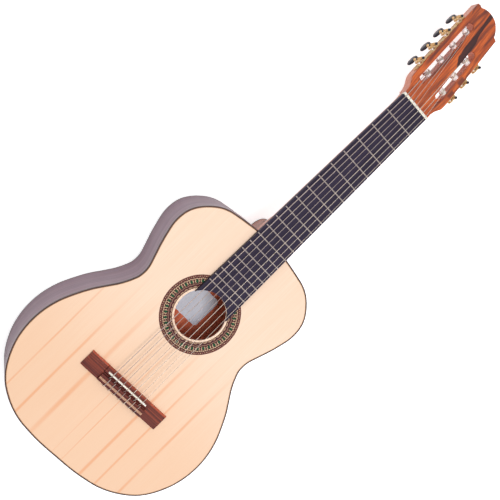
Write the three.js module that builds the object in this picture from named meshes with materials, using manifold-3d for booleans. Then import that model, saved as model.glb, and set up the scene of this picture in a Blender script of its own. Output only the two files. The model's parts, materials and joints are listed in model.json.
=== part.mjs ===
// A seven-string classical guitar, lying on its flat back.
// Millimetres, +Z up. The origin is on the back, on the centre line under the middle of the sound hole;
// +Y runs along the strings to the head and +X points to the treble side.
import * as THREE from 'three';
import { mergeVertices } from 'three/addons/utils/BufferGeometryUtils.js';
import Module from 'manifold-3d';

const wasm = await Module();
wasm.setup();

// Scale and clearances
const STRING_LENGTH = 650;
const NUT_Y = 486;
const COMPENSATION = 3;
const SADDLE_Y = NUT_Y - STRING_LENGTH - COMPENSATION;
const FRETS = 19;
const GAP = 0.3;

// Body. The right half of the outline runs from the neck joint to the tail.
const BODY_DEPTH = 99;
const HALF_OUTLINE = [
  [60, 159.5], [103, 148], [135, 117], [143, 81], [133, 37], [118.5, -11], [131, -48],
  [160, -91], [184, -142], [191, -192], [181, -242], [152, -288], [104, -317], [52, -327],
];
const BODY_TOP_Y = 166;
const BODY_TAIL_Y = -328.5;
const OUTLINE_STEPS = 72;
const PLATE = 2.4;
const RIB = 2;
const BINDING = 2.2;
const BINDING_DEPTH = 5;
const LINING = 6;
const LINING_DEPTH = 14;
const SOUND_HOLE = 43;
const ROSETTE_INNER = 46.5;
const ROSETTE_OUTER = 68.1;
const ROSETTE_DEPTH = 0.8;

// Neck and fretboard
const NUT_WIDTH = 58.6;
const TWELFTH_WIDTH = 68.9;
const FRETBOARD = 6.7;
const FRETBOARD_END_Y = 21.3;
const FRET = { width: 2.2, height: 1 };
const NUT = { length: 4.6, top: 107.9 };

// Head. Its front is a plane that leans back; s runs along it from the nut, depth is square to it.
const HEAD_ANGLE = THREE.MathUtils.degToRad(14.3);
const HEAD_ORIGIN = new THREE.Vector3(0, NUT_Y + 3, 106);
const HEAD_THICKNESS = 20;
const VENEER = 2.5;
const HEAD_HALF_WIDTH = 39;
const HEAD_WIDEST_S = 40;
const HEAD_TAPER = THREE.MathUtils.degToRad(1.8);
const SLOT = { width: 13.5, wall: 11.2, start: 41, ramp: 29, rampDepth: 8.5 };
const SLOT_END = { bass: 178, treble: 146 };

// Tuners: a worm on a button shaft turns a gear on the end of each string roller.
const FIRST_ROLLER_S = 58;
const ROLLER_PITCH = 35;
const ROLLER_DEPTH = 8;
const ROLLER = { radius: 5, length: 29.4, neck: 2.2, neckEnd: 5 };
const GEAR = { teeth: 14, root: 4.25, outer: 5.15, from: 5.3, to: 7.5 };
const WORM = { distance: 7.5, lead: 2.2, threadRadius: 2.45, thread: 0.5, core: 2.1, length: 4.6, shaft: 1.5 };
const WORM_X = (GEAR.from + GEAR.to) / 2;
const LUG = { from: 4.8, to: 6.2, half: 2.6, bore: 1.75 };
const BUTTON = { centre: -24.5, along: 11.2, deep: 8, thick: 3.6, bore: 1.8 };
const SIDE_PLATE = { thick: 1.2, half: 7, overhang: 15, bore: 2.6 };

// Bridge
const BRIDGE = { length: 169, block: 96, front: SADDLE_Y + 8.5, back: SADDLE_Y - 21.5, wing: 5.2 };
const SADDLE = { length: 85, thick: 3, foot: 103, top: 110.4 };
const TIE_BLOCK_TOP = 108.2;
const TIE_HOLE_Z = 105.2;

// Strings, from the highest to the lowest, with the roller that each one winds on
const NUT_PITCH = 8.2;
const BRIDGE_PITCH = 11.4;
const STRINGS = [
  { diameter: 0.72, side: 'treble', roller: 0, land: 23, edge: [23.8, 28.5] },
  { diameter: 0.82, side: 'treble', roller: 1, land: 20 },
  { diameter: 1.03, side: 'treble', roller: 2, land: 16, edge: [11.9, 105] },
  { diameter: 0.75, side: 'bass', roller: 3, land: 13.5, edge: [10.7, 140] },
  { diameter: 0.91, side: 'bass', roller: 2, land: 16, edge: [11.9, 105] },
  { diameter: 1.1, side: 'bass', roller: 1, land: 20 },
  { diameter: 1.35, side: 'bass', roller: 0, land: 23, edge: [23.8, 28.5] },
];
const TUNERS = { bass: 4, treble: 3 };

const SPRUCE = { color: 0xf2cf9f, roughness: 0.35, metalness: 0 };
const ROSEWOOD = { color: 0x5a3a3c, roughness: 0.3, metalness: 0 };
const BRIDGE_WOOD = { color: 0x6b3a30, roughness: 0.45, metalness: 0 };
const EBONY = { color: 0x2b2a33, roughness: 0.4, metalness: 0 };
const CEDAR = { color: 0xc98363, roughness: 0.35, metalness: 0 };
const VENEER_WOOD = { color: 0xb5633f, roughness: 0.3, metalness: 0 };
const LINING_WOOD = { color: 0xc9a27a, roughness: 0.7, metalness: 0 };
const BONE = { color: 0xf3ecdb, roughness: 0.4, metalness: 0 };
const MOSAIC = { color: 0xa89a78, roughness: 0.4, metalness: 0 };
const PAPER = { color: 0xe8ecf0, roughness: 0.9, metalness: 0 };
const GOLD = { color: 0xd9a54a, roughness: 0.25, metalness: 1 };
const PEARL = { color: 0xf5e9e6, roughness: 0.3, metalness: 0 };
const BLACK = { color: 0x1c1c24, roughness: 0.25, metalness: 0 };
const NYLON = { color: 0xf0ead8, roughness: 0.3, metalness: 0 };
const WOUND = { color: 0xc9b8a8, roughness: 0.35, metalness: 0.9 };

const guitar = new THREE.Group();
const head = new THREE.Group();
head.position.copy(HEAD_ORIGIN);
head.rotation.x = -HEAD_ANGLE;
head.updateMatrix();
guitar.add(head);

// Adds one named piece to a group.
function addPart(group, name, geometry, finish) {
  const mesh = new THREE.Mesh(geometry, new THREE.MeshStandardMaterial({ ...finish }));
  mesh.name = name;
  group.add(mesh);
  return mesh;
}

// Joining and cutting

function solidOf(geometry) {
  const bare = geometry.clone();
  bare.deleteAttribute('normal');
  bare.deleteAttribute('uv');
  const merged = mergeVertices(bare, 1e-4);
  return new wasm.Manifold(new wasm.Mesh({
    numProp: 3,
    vertProperties: merged.attributes.position.array,
    triVerts: new Uint32Array(merged.index.array),
  }));
}

function geometryOf(solid) {
  const { vertProperties, triVerts } = solid.getMesh();
  const geometry = new THREE.BufferGeometry();
  geometry.setAttribute('position', new THREE.BufferAttribute(vertProperties, 3));
  geometry.setIndex(new THREE.BufferAttribute(triVerts, 1));
  geometry.computeVertexNormals();
  return geometry;
}

function join(geometries) {
  return geometryOf(geometries.map(solidOf).reduce((whole, piece) => whole.add(piece)));
}

function cut(geometry, cutters) {
  return geometryOf(cutters.map(solidOf).reduce((whole, cutter) => whole.subtract(cutter), solidOf(geometry)));
}

// Basic forms

function extrudeZ(shape, low, high, curveSegments = 3) {
  const depth = high - low;
  return new THREE.ExtrudeGeometry(shape, { depth, curveSegments, bevelEnabled: false }).translate(0, 0, low);
}

// A profile drawn in Y and Z, drawn out along X.
function extrudeX(shape, low, high) {
  const turn = new THREE.Matrix4().makeBasis(
    new THREE.Vector3(0, 1, 0), new THREE.Vector3(0, 0, 1), new THREE.Vector3(1, 0, 0),
  );
  const geometry = new THREE.ExtrudeGeometry(shape, { depth: high - low, bevelEnabled: false });
  return geometry.applyMatrix4(turn).translate(low, 0, 0);
}

function polygon(points) {
  return new THREE.Shape(points.map(([x, y]) => new THREE.Vector2(x, y)));
}

function box(low, high) {
  const size = high.map((value, axis) => value - low[axis]);
  const centre = high.map((value, axis) => (value + low[axis]) / 2);
  return new THREE.BoxGeometry(...size).translate(...centre);
}

function ringZ(outer, inner, low, high, segments = 40) {
  const profile = [[inner, low], [outer, low], [outer, high], [inner, high], [inner, low]];
  const points = profile.map(([radius, height]) => new THREE.Vector2(radius, height));
  return new THREE.LatheGeometry(points, segments).rotateX(Math.PI / 2);
}

// A turned piece: its profile is a list of [radius, height] from one end of the axis to the other.
function turned(profile, segments) {
  const points = profile.map(([radius, height]) => new THREE.Vector2(radius, height));
  return new THREE.LatheGeometry(points, segments);
}

function turnedZ(profile, segments = 10) {
  return turned(profile, segments).rotateX(Math.PI / 2);
}

function turnedX(profile, segments = 12) {
  return turned(profile, segments).rotateZ(-Math.PI / 2);
}

function cylinderX(radius, low, high, segments = 12) {
  return turnedX([[0, low], [radius, low], [radius, high], [0, high]], segments);
}

function cylinderZ(radius, low, high, segments = 32) {
  return new THREE.CylinderGeometry(radius, radius, high - low, segments)
    .rotateX(Math.PI / 2)
    .translate(0, 0, (low + high) / 2);
}

// Joins sections of equal length into a closed skin with flat ends.
function loft(sections) {
  const count = sections[0].length;
  const middle = (section) => section
    .reduce((sum, point) => sum.add(point), new THREE.Vector3())
    .divideScalar(count);
  const points = [...sections.flat(), middle(sections[0]), middle(sections.at(-1))];
  const faces = [];
  for (let row = 0; row < sections.length - 1; row += 1) {
    for (let i = 0; i < count; i += 1) {
      const a = row * count + i;
      const b = row * count + ((i + 1) % count);
      faces.push(a, b, b + count, a, b + count, a + count);
    }
  }
  const last = (sections.length - 1) * count;
  for (let i = 0; i < count; i += 1) {
    const next = (i + 1) % count;
    faces.push(points.length - 2, next, i, points.length - 1, last + i, last + next);
  }
  return new THREE.BufferGeometry().setFromPoints(points).setIndex(faces);
}

// A path whose rings stand at its own points, so short bends stay sharp beside long straight runs.
class StringPath extends THREE.CatmullRomCurve3 {
  getUtoTmapping(u) {
    return u;
  }
}

function tube(points, radius, sides = 8) {
  const section = new THREE.Shape().absarc(0, 0, radius, 0, 2 * Math.PI);
  const extrudePath = new StringPath(points);
  const options = { steps: points.length - 1, curveSegments: sides / 2, extrudePath, bevelEnabled: false };
  return new THREE.ExtrudeGeometry(section, options);
}

// Body

const bodyCurve = new THREE.CatmullRomCurve3(
  [
    new THREE.Vector3(0, BODY_TOP_Y, 0),
    ...HALF_OUTLINE.map(([x, y]) => new THREE.Vector3(x, y, 0)),
    new THREE.Vector3(0, BODY_TAIL_Y, 0),
    ...HALF_OUTLINE.toReversed().map(([x, y]) => new THREE.Vector3(-x, y, 0)),
  ],
  true,
  'catmullrom',
  0.5,
);

// Points of the outline moved inwards by inset, clockwise from the neck joint.
function outline(inset) {
  return Array.from({ length: OUTLINE_STEPS }, (_, i) => {
    const point = bodyCurve.getPoint(i / OUTLINE_STEPS);
    const along = bodyCurve.getTangent(i / OUTLINE_STEPS);
    return new THREE.Vector2(point.x + inset * along.y, point.y - inset * along.x);
  });
}

function plate(inset, low, high, hole) {
  const shape = new THREE.Shape(outline(inset));
  if (hole) shape.holes.push(new THREE.Path().absarc(0, 0, hole, 0, 2 * Math.PI));
  return extrudeZ(shape, low, high, 20);
}

function rim(outerInset, innerInset, low, high) {
  const shape = new THREE.Shape(outline(outerInset));
  shape.holes.push(new THREE.Path(outline(innerInset).toReversed()));
  return extrudeZ(shape, low, high);
}

// One bent side, from the neck joint to the tail, with a hair of room at the two seams.
function rib(side) {
  const half = OUTLINE_STEPS / 2 + 1;
  const seam = (point) => new THREE.Vector2(side * Math.max(point.x, GAP / 2), point.y);
  const outer = outline(0).slice(0, half).map(seam);
  const inner = outline(RIB).slice(0, half).map(seam).toReversed();
  return extrudeZ(new THREE.Shape([...outer, ...inner]), BINDING_DEPTH + GAP, BODY_DEPTH - BINDING_DEPTH - GAP);
}

const PLATE_INSET = BINDING + GAP;
const LINING_INSET = BINDING + GAP;
const INSIDE_TOP = BODY_DEPTH - PLATE - GAP;
const INSIDE_BACK = PLATE + GAP;

function halfWidthAt(y) {
  const near = outline(0).filter((point) => point.x > 0);
  const above = near.findLast((point) => point.y >= y);
  const below = near[near.indexOf(above) + 1];
  return THREE.MathUtils.lerp(above.x, below.x, (above.y - y) / (above.y - below.y));
}

// A brace across the inside, clear of the linings at both ends.
function crossBar(y, length, low, high) {
  const narrowest = Math.min(halfWidthAt(y - length / 2), halfWidthAt(y + length / 2));
  const reach = narrowest - LINING_INSET - LINING - 3;
  return box([-reach, y - length / 2, low], [reach, y + length / 2, high]);
}

function fanBracing() {
  const top = INSIDE_TOP;
  const patch = box([-95, BRIDGE.back - 2, top - 2], [95, BRIDGE.front + 2, top]);
  const struts = [-3, -2, -1, 0, 1, 2, 3].map((place) => box([-2.5, -250, top - 6], [2.5, -72, top])
    .translate(0, 161, 0)
    .rotateZ(THREE.MathUtils.degToRad(4.5 * place))
    .translate(place * 22, -161, 0));
  return join([patch, ...struts]);
}

function backBracing() {
  const bars = [60, -62, -190].map((y) => crossBar(y, 14, INSIDE_BACK, INSIDE_BACK + 14));
  const strip = box([-10, -190, INSIDE_BACK], [10, 60, INSIDE_BACK + 1.5]);
  return join([strip, ...bars]);
}

function label() {
  const paper = new THREE.Shape();
  const [halfX, low, high, corner] = [40.5, -27.5, 32.5, 5];
  paper.moveTo(-halfX + corner, low).lineTo(halfX - corner, low);
  paper.quadraticCurveTo(halfX, low, halfX, low + corner).lineTo(halfX, high - corner);
  paper.quadraticCurveTo(halfX, high, halfX - corner, high).lineTo(-halfX + corner, high);
  paper.quadraticCurveTo(-halfX, high, -halfX, high - corner).lineTo(-halfX, low + corner);
  paper.quadraticCurveTo(-halfX, low, -halfX + corner, low);
  return extrudeZ(paper, INSIDE_BACK + 1.5 + GAP, INSIDE_BACK + 2.2 + GAP);
}

// A block between the two linings, cut to the inside of the sides.
function endBlock(halfX, low, high) {
  const bottom = INSIDE_BACK + LINING_DEPTH + GAP;
  const top = INSIDE_TOP - LINING_DEPTH - GAP;
  const block = solidOf(box([-halfX, low, bottom], [halfX, high, top]));
  return geometryOf(block.intersect(solidOf(plate(RIB + GAP, 0, BODY_DEPTH))));
}

function soundboard() {
  const groove = ringZ(
    ROSETTE_OUTER + GAP, ROSETTE_INNER - GAP, BODY_DEPTH - ROSETTE_DEPTH - GAP, BODY_DEPTH + 1,
  );
  return cut(plate(PLATE_INSET, BODY_DEPTH - PLATE, BODY_DEPTH, SOUND_HOLE), [groove]);
}

function addBody() {
  const top = BODY_DEPTH;
  addPart(guitar, 'soundboard', soundboard(), SPRUCE);
  addPart(guitar, 'rosette', ringZ(ROSETTE_OUTER, ROSETTE_INNER, top - ROSETTE_DEPTH, top), MOSAIC);
  addPart(guitar, 'back_plate', plate(PLATE_INSET, 0, PLATE), ROSEWOOD);
  addPart(guitar, 'treble_rib', rib(1), ROSEWOOD);
  addPart(guitar, 'bass_rib', rib(-1), ROSEWOOD);
  addPart(guitar, 'top_binding', rim(0, BINDING, top - BINDING_DEPTH, top), ROSEWOOD);
  addPart(guitar, 'back_binding', rim(0, BINDING, 0, BINDING_DEPTH), ROSEWOOD);
  const liningInner = LINING_INSET + LINING;
  const topLining = rim(LINING_INSET, liningInner, INSIDE_TOP - LINING_DEPTH, INSIDE_TOP);
  const backLining = rim(LINING_INSET, liningInner, INSIDE_BACK, INSIDE_BACK + LINING_DEPTH);
  addPart(guitar, 'top_lining', topLining, LINING_WOOD);
  addPart(guitar, 'back_lining', backLining, LINING_WOOD);
  addPart(guitar, 'upper_harmonic_bar', crossBar(76, 8, INSIDE_TOP - 18, INSIDE_TOP), SPRUCE);
  addPart(guitar, 'lower_harmonic_bar', crossBar(-62, 8, INSIDE_TOP - 18, INSIDE_TOP), SPRUCE);
  addPart(guitar, 'fan_bracing', fanBracing(), SPRUCE);
  addPart(guitar, 'back_bracing', backBracing(), LINING_WOOD);
  addPart(guitar, 'label', label(), PAPER);
  addPart(guitar, 'neck_block', endBlock(32, BODY_TOP_Y - 30, BODY_TOP_Y + 1), CEDAR);
  addPart(guitar, 'tail_block', endBlock(34, BODY_TAIL_Y - 1, BODY_TAIL_Y + 18), CEDAR);
}

// Neck

function neckHalfWidth(y) {
  const twelfthY = NUT_Y - STRING_LENGTH / 2;
  return THREE.MathUtils.lerp(NUT_WIDTH, TWELFTH_WIDTH, (NUT_Y - y) / (NUT_Y - twelfthY)) / 2;
}

// The round underside of the neck, from edge to edge.
function neckSection(y, depth) {
  const halfWidth = neckHalfWidth(y);
  return Array.from({ length: 13 }, (_, i) => {
    const turn = (Math.PI * i) / 12;
    const across = Math.sign(Math.cos(turn)) * Math.abs(Math.cos(turn)) ** 0.8;
    return new THREE.Vector3(halfWidth * across, y, BODY_DEPTH - depth * Math.sin(turn) ** 0.85);
  });
}

// A level cut through the heel: flat towards the body and pointed towards the head.
function heelSection(z, halfWidth, reach) {
  const root = BODY_TOP_Y - 8;
  return Array.from({ length: 13 }, (_, i) => {
    const turn = (Math.PI * i) / 12;
    const across = Math.sign(Math.cos(turn)) * Math.abs(Math.cos(turn)) ** 0.75;
    return new THREE.Vector3(halfWidth * across, root + (reach + 8) * Math.sin(turn), z);
  });
}

function neckShaft() {
  const stations = [[158, 17], [230, 16.8], [300, 16.3], [380, 15.6], [440, 15], [478, 14.6], [493, 15.5]];
  return loft(stations.map(([y, depth]) => neckSection(y, depth)));
}

function heel() {
  const levels = [
    [0, 18.5, 25], [8, 19.5, 25.5], [25, 21.5, 27.5], [42, 24.5, 31.5],
    [57, 27.5, 38], [69, 30, 48], [78, 31.5, 62], [84, 32.5, 80], [90, 32, 95],
  ];
  return loft(levels.map(([z, halfWidth, reach]) => heelSection(z, halfWidth, reach)));
}

// Head, in its own leaning frame: x across, y along it from the nut, z square to its front

function headHalfWidth(s) {
  return HEAD_HALF_WIDTH - (s - HEAD_WIDEST_S) * Math.tan(HEAD_TAPER);
}

// Its edge: concave shoulders by the nut, tapered sides, and a crown that is higher on the bass side.
function headShape(start) {
  const throat = NUT_WIDTH / 2;
  const shoulder = [[31.2, 17], [34.8, 24.5], [38, 31], [HEAD_HALF_WIDTH, HEAD_WIDEST_S]];
  const crown = [[24.5, 200], [19, 207], [9, 214.3], [-6, 216.5], [-18, 213.3], [-24, 210]];
  const point = ([x, s]) => new THREE.Vector2(x, s);
  const mirror = ([x, s]) => new THREE.Vector2(-x, s);
  const shape = new THREE.Shape().moveTo(throat, start);
  shape.lineTo(throat, 9).splineThru(shoulder.map(point));
  shape.lineTo(headHalfWidth(191.6), 191.6).lineTo(28, 193).splineThru(crown.map(point));
  shape.lineTo(-28.5, 211).lineTo(-headHalfWidth(210), 210).lineTo(-HEAD_HALF_WIDTH, HEAD_WIDEST_S);
  shape.splineThru([...shoulder.slice(0, -1).toReversed().map(mirror), new THREE.Vector2(-throat, 9)]);
  shape.lineTo(-throat, start);
  return shape;
}

// The frame of one side of the head: x outwards, z to the front, origin on the first roller's axis.
function sideMatrix(side) {
  const turn = side === 'treble' ? HEAD_TAPER : Math.PI - HEAD_TAPER;
  const x = headHalfWidth(FIRST_ROLLER_S) * (side === 'treble' ? 1 : -1);
  return new THREE.Matrix4().makeRotationZ(turn).setPosition(x, FIRST_ROLLER_S, -ROLLER_DEPTH);
}

// In a side's frame the crown lies up the y axis on the treble side and down it on the bass side.
function toCrown(side) {
  return side === 'treble' ? 1 : -1;
}

function stadium(side, start) {
  const radius = SLOT.width / 2;
  const ends = [start, SLOT_END[side]].map((s) => toCrown(side) * (s - FIRST_ROLLER_S));
  const low = Math.min(...ends) + radius;
  const high = Math.max(...ends) - radius;
  const middle = -SLOT.wall - radius;
  const shape = new THREE.Shape().absarc(middle, high, radius, 0, Math.PI);
  return shape.absarc(middle, low, radius, Math.PI, 2 * Math.PI);
}

// What the string slot takes away: the slot, the ramp at its nut end and the roller bores.
function slotCutters(side) {
  const along = (s) => toCrown(side) * (s - FIRST_ROLLER_S);
  const front = ROLLER_DEPTH;
  const slot = extrudeZ(stadium(side, SLOT.start), front - HEAD_THICKNESS - 5, front + 5, 4);
  const ramp = extrudeX(
    polygon([
      [along(SLOT.ramp), front + 2], [along(SLOT.ramp), front], [along(SLOT.start + 3), front - SLOT.rampDepth],
      [along(SLOT.start + 9), front - SLOT.rampDepth], [along(SLOT.start + 9), front + 2],
    ]),
    -SLOT.wall - SLOT.width,
    -SLOT.wall,
  );
  const bores = Array.from({ length: TUNERS[side] }, (_, i) => (
    cylinderX(ROLLER.radius + GAP, -ROLLER.length - 0.6, 5).translate(0, along(FIRST_ROLLER_S + i * ROLLER_PITCH), 0)
  ));
  return [slot, ramp, ...bores].map((cutter) => cutter.applyMatrix4(sideMatrix(side)));
}

function headBoard(low, high, start) {
  const board = extrudeZ(headShape(start), low, high);
  return cut(board, [...slotCutters('bass'), ...slotCutters('treble')]);
}

function neck() {
  const board = headBoard(-HEAD_THICKNESS, -VENEER - GAP, -4).applyMatrix4(head.matrix);
  const nutSeat = box([-50, 470, BODY_DEPTH], [50, NUT_Y + NUT.length + 2 * GAP, 130]);
  const body = box([-60, 0, -5], [60, BODY_TOP_Y + GAP, BODY_DEPTH + 5]);
  return cut(join([neckShaft(), heel(), board]), [nutSeat, body]);
}

function fretY(number) {
  return NUT_Y - STRING_LENGTH * (1 - 2 ** (-number / 12));
}

function fretboard() {
  const low = BODY_DEPTH + GAP;
  const high = low + FRETBOARD;
  const corners = [[NUT_Y, 1], [NUT_Y, -1], [FRETBOARD_END_Y, -1], [FRETBOARD_END_Y, 1]];
  const blank = extrudeZ(polygon(corners.map(([y, side]) => [side * neckHalfWidth(y), y])), low, high);
  const frets = Array.from({ length: FRETS }, (_, i) => {
    const y = fretY(i + 1);
    const half = FRET.width / 2;
    const crown = [[y - half, high - 1], [y + half, high - 1], [y + half, high + 0.3], [y, high + FRET.height]];
    const wire = polygon([...crown, [y - half, high + 0.3]]);
    return extrudeX(wire, -neckHalfWidth(y) + 0.2, neckHalfWidth(y) - 0.2);
  });
  return cut(join([blank, ...frets]), [cylinderZ(SOUND_HOLE + 0.5, low - 5, high + 5)]);
}

function nut() {
  const [low, front, back] = [BODY_DEPTH + GAP, NUT_Y + GAP, NUT_Y + GAP + NUT.length];
  const profile = polygon([
    [front, low], [back, low], [back, NUT.top - 1.9], [front + 1, NUT.top], [front, NUT.top],
  ]);
  return extrudeX(profile, -NUT_WIDTH / 2, NUT_WIDTH / 2);
}

function addNeck() {
  addPart(guitar, 'neck', neck(), CEDAR);
  addPart(guitar, 'fretboard', fretboard(), EBONY);
  addPart(guitar, 'nut', nut(), BONE);
  const veneer = solidOf(headBoard(-VENEER, 0, -4).applyMatrix4(head.matrix));
  const kept = solidOf(box([-60, NUT_Y + NUT.length + 2 * GAP, 0], [60, 800, 130]));
  addPart(guitar, 'head_veneer', geometryOf(veneer.intersect(kept)), VENEER_WOOD);
}

// Bridge

function bridge() {
  const { front, back, length, block, wing } = BRIDGE;
  const low = BODY_DEPTH + GAP;
  const slot = SADDLE.thick / 2 + GAP;
  const wings = extrudeX(
    polygon([[back, low], [front, low], [front, low + wing - 1], [front - 3, low + wing], [back + 3, low + wing],
      [back, low + wing - 1]]),
    -length / 2,
    length / 2,
  );
  const middle = extrudeX(
    polygon([
      [back, low], [front, low], [front, 104.8], [front - 2, 107], [SADDLE_Y - 3.5, 107], [SADDLE_Y - 6, 102.4],
      [back + 13.7, 102.4], [back + 13.2, TIE_BLOCK_TOP], [back + 1, TIE_BLOCK_TOP], [back, TIE_BLOCK_TOP - 1.5],
    ]),
    -block / 2,
    block / 2,
  );
  const saddleSlot = box(
    [-SADDLE.length / 2 - GAP, SADDLE_Y - slot, SADDLE.foot - GAP],
    [SADDLE.length / 2 + GAP, SADDLE_Y + slot, 120],
  );
  const holes = STRINGS.map((string, i) => (
    new THREE.CylinderGeometry(1.2, 1.2, 18, 6).translate(bridgeX(i), back + 6.6, TIE_HOLE_Z)
  ));
  return cut(join([wings, middle]), [saddleSlot, ...holes]);
}

function saddle() {
  const half = SADDLE.thick / 2;
  const profile = polygon([
    [SADDLE_Y - half, SADDLE.foot], [SADDLE_Y + half, SADDLE.foot], [SADDLE_Y + half, SADDLE.top - 0.8],
    [SADDLE_Y, SADDLE.top], [SADDLE_Y - half, SADDLE.top - 0.8],
  ]);
  return extrudeX(profile, -SADDLE.length / 2, SADDLE.length / 2);
}

function addBridge() {
  const { back, block } = BRIDGE;
  const inlay = box([-block / 2, back + 4.3, TIE_BLOCK_TOP + GAP], [block / 2, back + 8.1, TIE_BLOCK_TOP + 1 + GAP]);
  addPart(guitar, 'bridge', bridge(), BRIDGE_WOOD);
  addPart(guitar, 'saddle', saddle(), BONE);
  addPart(guitar, 'tie_block_inlay', inlay, BONE);
}

// Strings

function place(index) {
  return (STRINGS.length - 1) / 2 - index;
}

function bridgeX(index) {
  return BRIDGE_PITCH * place(index);
}

function nutX(index) {
  return NUT_PITCH * place(index);
}

// The route of a string: from its tie loop through the bridge, over saddle and nut, to its roller.
function stringRoute(index) {
  const { diameter, side, roller, land, edge } = STRINGS[index];
  const radius = diameter / 2;
  const x = bridgeX(index);
  const back = BRIDGE.back;
  const loopTop = TIE_BLOCK_TOP + 1 + 2 * GAP + radius;
  const loop = [
    [2.2, back + 14.8, loopTop - 1], [2, back + 12.2, loopTop], [1.6, back + 2, loopTop],
    [1.1, back - 1, loopTop - 1.2], [0.5, back - 1.4, TIE_HOLE_Z + 1.4], [0.1, back - 0.4, TIE_HOLE_Z],
  ].map(([aside, y, z]) => new THREE.Vector3(x + aside, y, z));
  const top = SADDLE.top + GAP + radius;
  const bridgeRun = [
    [back + 2, TIE_HOLE_Z], [back + 13.6, TIE_HOLE_Z], [SADDLE_Y - 1.9, top - 0.7], [SADDLE_Y, top],
  ].map(([y, z]) => new THREE.Vector3(x, y, z));
  const start = new THREE.Vector3(x, SADDLE_Y, top);
  const overNut = new THREE.Vector3(nutX(index), NUT_Y + GAP + 1, NUT.top + GAP + radius);
  const speaking = [0.02, 0.98, 1].map((part) => start.clone().lerp(overNut, part));
  const across = side === 'treble' ? 1 : -1;
  const s = FIRST_ROLLER_S + roller * ROLLER_PITCH;
  const down = [[land, s - 1.5, GAP + radius - ROLLER_DEPTH + ROLLER.radius]];
  if (edge) down.unshift([edge[0], edge[1], 0.5 + radius]);
  const onHead = down.map(([u, v, w]) => new THREE.Vector3(across * u, v, w).applyMatrix4(head.matrix));
  const leaving = overNut.clone().lerp(onHead[0], 0.06);
  return [...loop, ...bridgeRun, ...speaking, leaving, ...onHead];
}

function addStrings() {
  STRINGS.forEach((string, i) => {
    const finish = i < 3 ? NYLON : WOUND;
    addPart(guitar, `string_${i + 1}`, tube(stringRoute(i), string.diameter / 2), finish);
  });
}

// Tuners, in the frame of their side of the head

function sidePlate(side) {
  const ends = [-SIDE_PLATE.overhang, (TUNERS[side] - 1) * ROLLER_PITCH + SIDE_PLATE.overhang];
  const [low, high] = ends.map((y) => toCrown(side) * y).sort((a, b) => a - b);
  const face = GAP + SIDE_PLATE.thick;
  const sheet = box([GAP, low, -SIDE_PLATE.half], [face, high, SIDE_PLATE.half]);
  const wormY = toCrown(side) * WORM.distance;
  const pieces = [sheet];
  const bores = [];
  for (let i = 0; i < TUNERS[side]; i += 1) {
    const y = toCrown(side) * i * ROLLER_PITCH;
    for (const [from, to] of [[LUG.from, LUG.to], [-LUG.to, -LUG.from]]) {
      pieces.push(box([face - 0.5, y + wormY - LUG.half, from], [WORM_X + LUG.half, y + wormY + LUG.half, to]));
    }
    bores.push(cylinderX(SIDE_PLATE.bore, -2, face + 1, 8).translate(0, y, 0));
    bores.push(cylinderZ(LUG.bore, -LUG.to - 1, LUG.to + 1, 8).translate(WORM_X, y + wormY, 0));
  }
  return cut(join(pieces), bores);
}

function roller() {
  const { radius, length, neck: thin, neckEnd } = ROLLER;
  return turnedX([[0, -length], [radius, -length], [radius, -0.5], [thin, -0.5], [thin, neckEnd], [0, neckEnd]]);
}

// A gap between two teeth faces the worm when the tuner is at rest.
function gear(side) {
  const pitch = (2 * Math.PI) / GEAR.teeth;
  const towardsWorm = toCrown(side) * (Math.PI / 2);
  const tooth = [[-0.29, GEAR.root], [-0.17, GEAR.outer], [0.17, GEAR.outer], [0.29, GEAR.root]];
  const rimPoints = Array.from({ length: GEAR.teeth }, (_, i) => tooth.map(([offset, radius]) => {
    const angle = towardsWorm + (i + 0.5 + offset) * pitch;
    return [radius * Math.cos(angle), radius * Math.sin(angle)];
  })).flat();
  // Drawn in Y and Z, where the worm lies along Y.
  const wheel = extrudeX(polygon(rimPoints.map(([a, b]) => [b, -a])), GEAR.from, GEAR.to);
  const screw = cylinderX(2.6, GEAR.to - 0.5, GEAR.to + 1.2, 8);
  return join([wheel, screw]);
}

// A right-handed thread on a core, with a ball at the front end of the shaft.
function wormShaft() {
  const { core, length, shaft, lead, thread, threadRadius } = WORM;
  const half = length / 2 + 1.2;
  const end = BUTTON.centre + 3;
  const ball = [[1.6, LUG.to + GAP], [2.4, 8], [1.7, 9.9], [0, 10.7]];
  const body = turnedZ(
    [[0, end], [shaft, end], [shaft, -half], [core, -half], [core, half], [shaft, half], [shaft, LUG.to + GAP], ...ball],
    6,
  );
  const turns = length / 2 / lead;
  const stepsPerTurn = 8;
  const steps = Math.round(2 * turns * stepsPerTurn);
  const points = Array.from({ length: steps + 1 }, (_, i) => {
    const turn = (2 * i / steps - 1) * turns;
    const angle = 2 * Math.PI * turn;
    return new THREE.Vector3(threadRadius * Math.cos(angle), threadRadius * Math.sin(angle), lead * turn);
  });
  return join([body, tube(points, thread, 4)]);
}

function button() {
  const { along, deep, thick, bore } = BUTTON;
  const oval = new THREE.SphereGeometry(1, 12, 7).scale(thick, along, deep);
  const hole = cylinderZ(bore, 2.6, deep + 1, 6);
  return cut(oval, [hole]);
}

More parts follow.
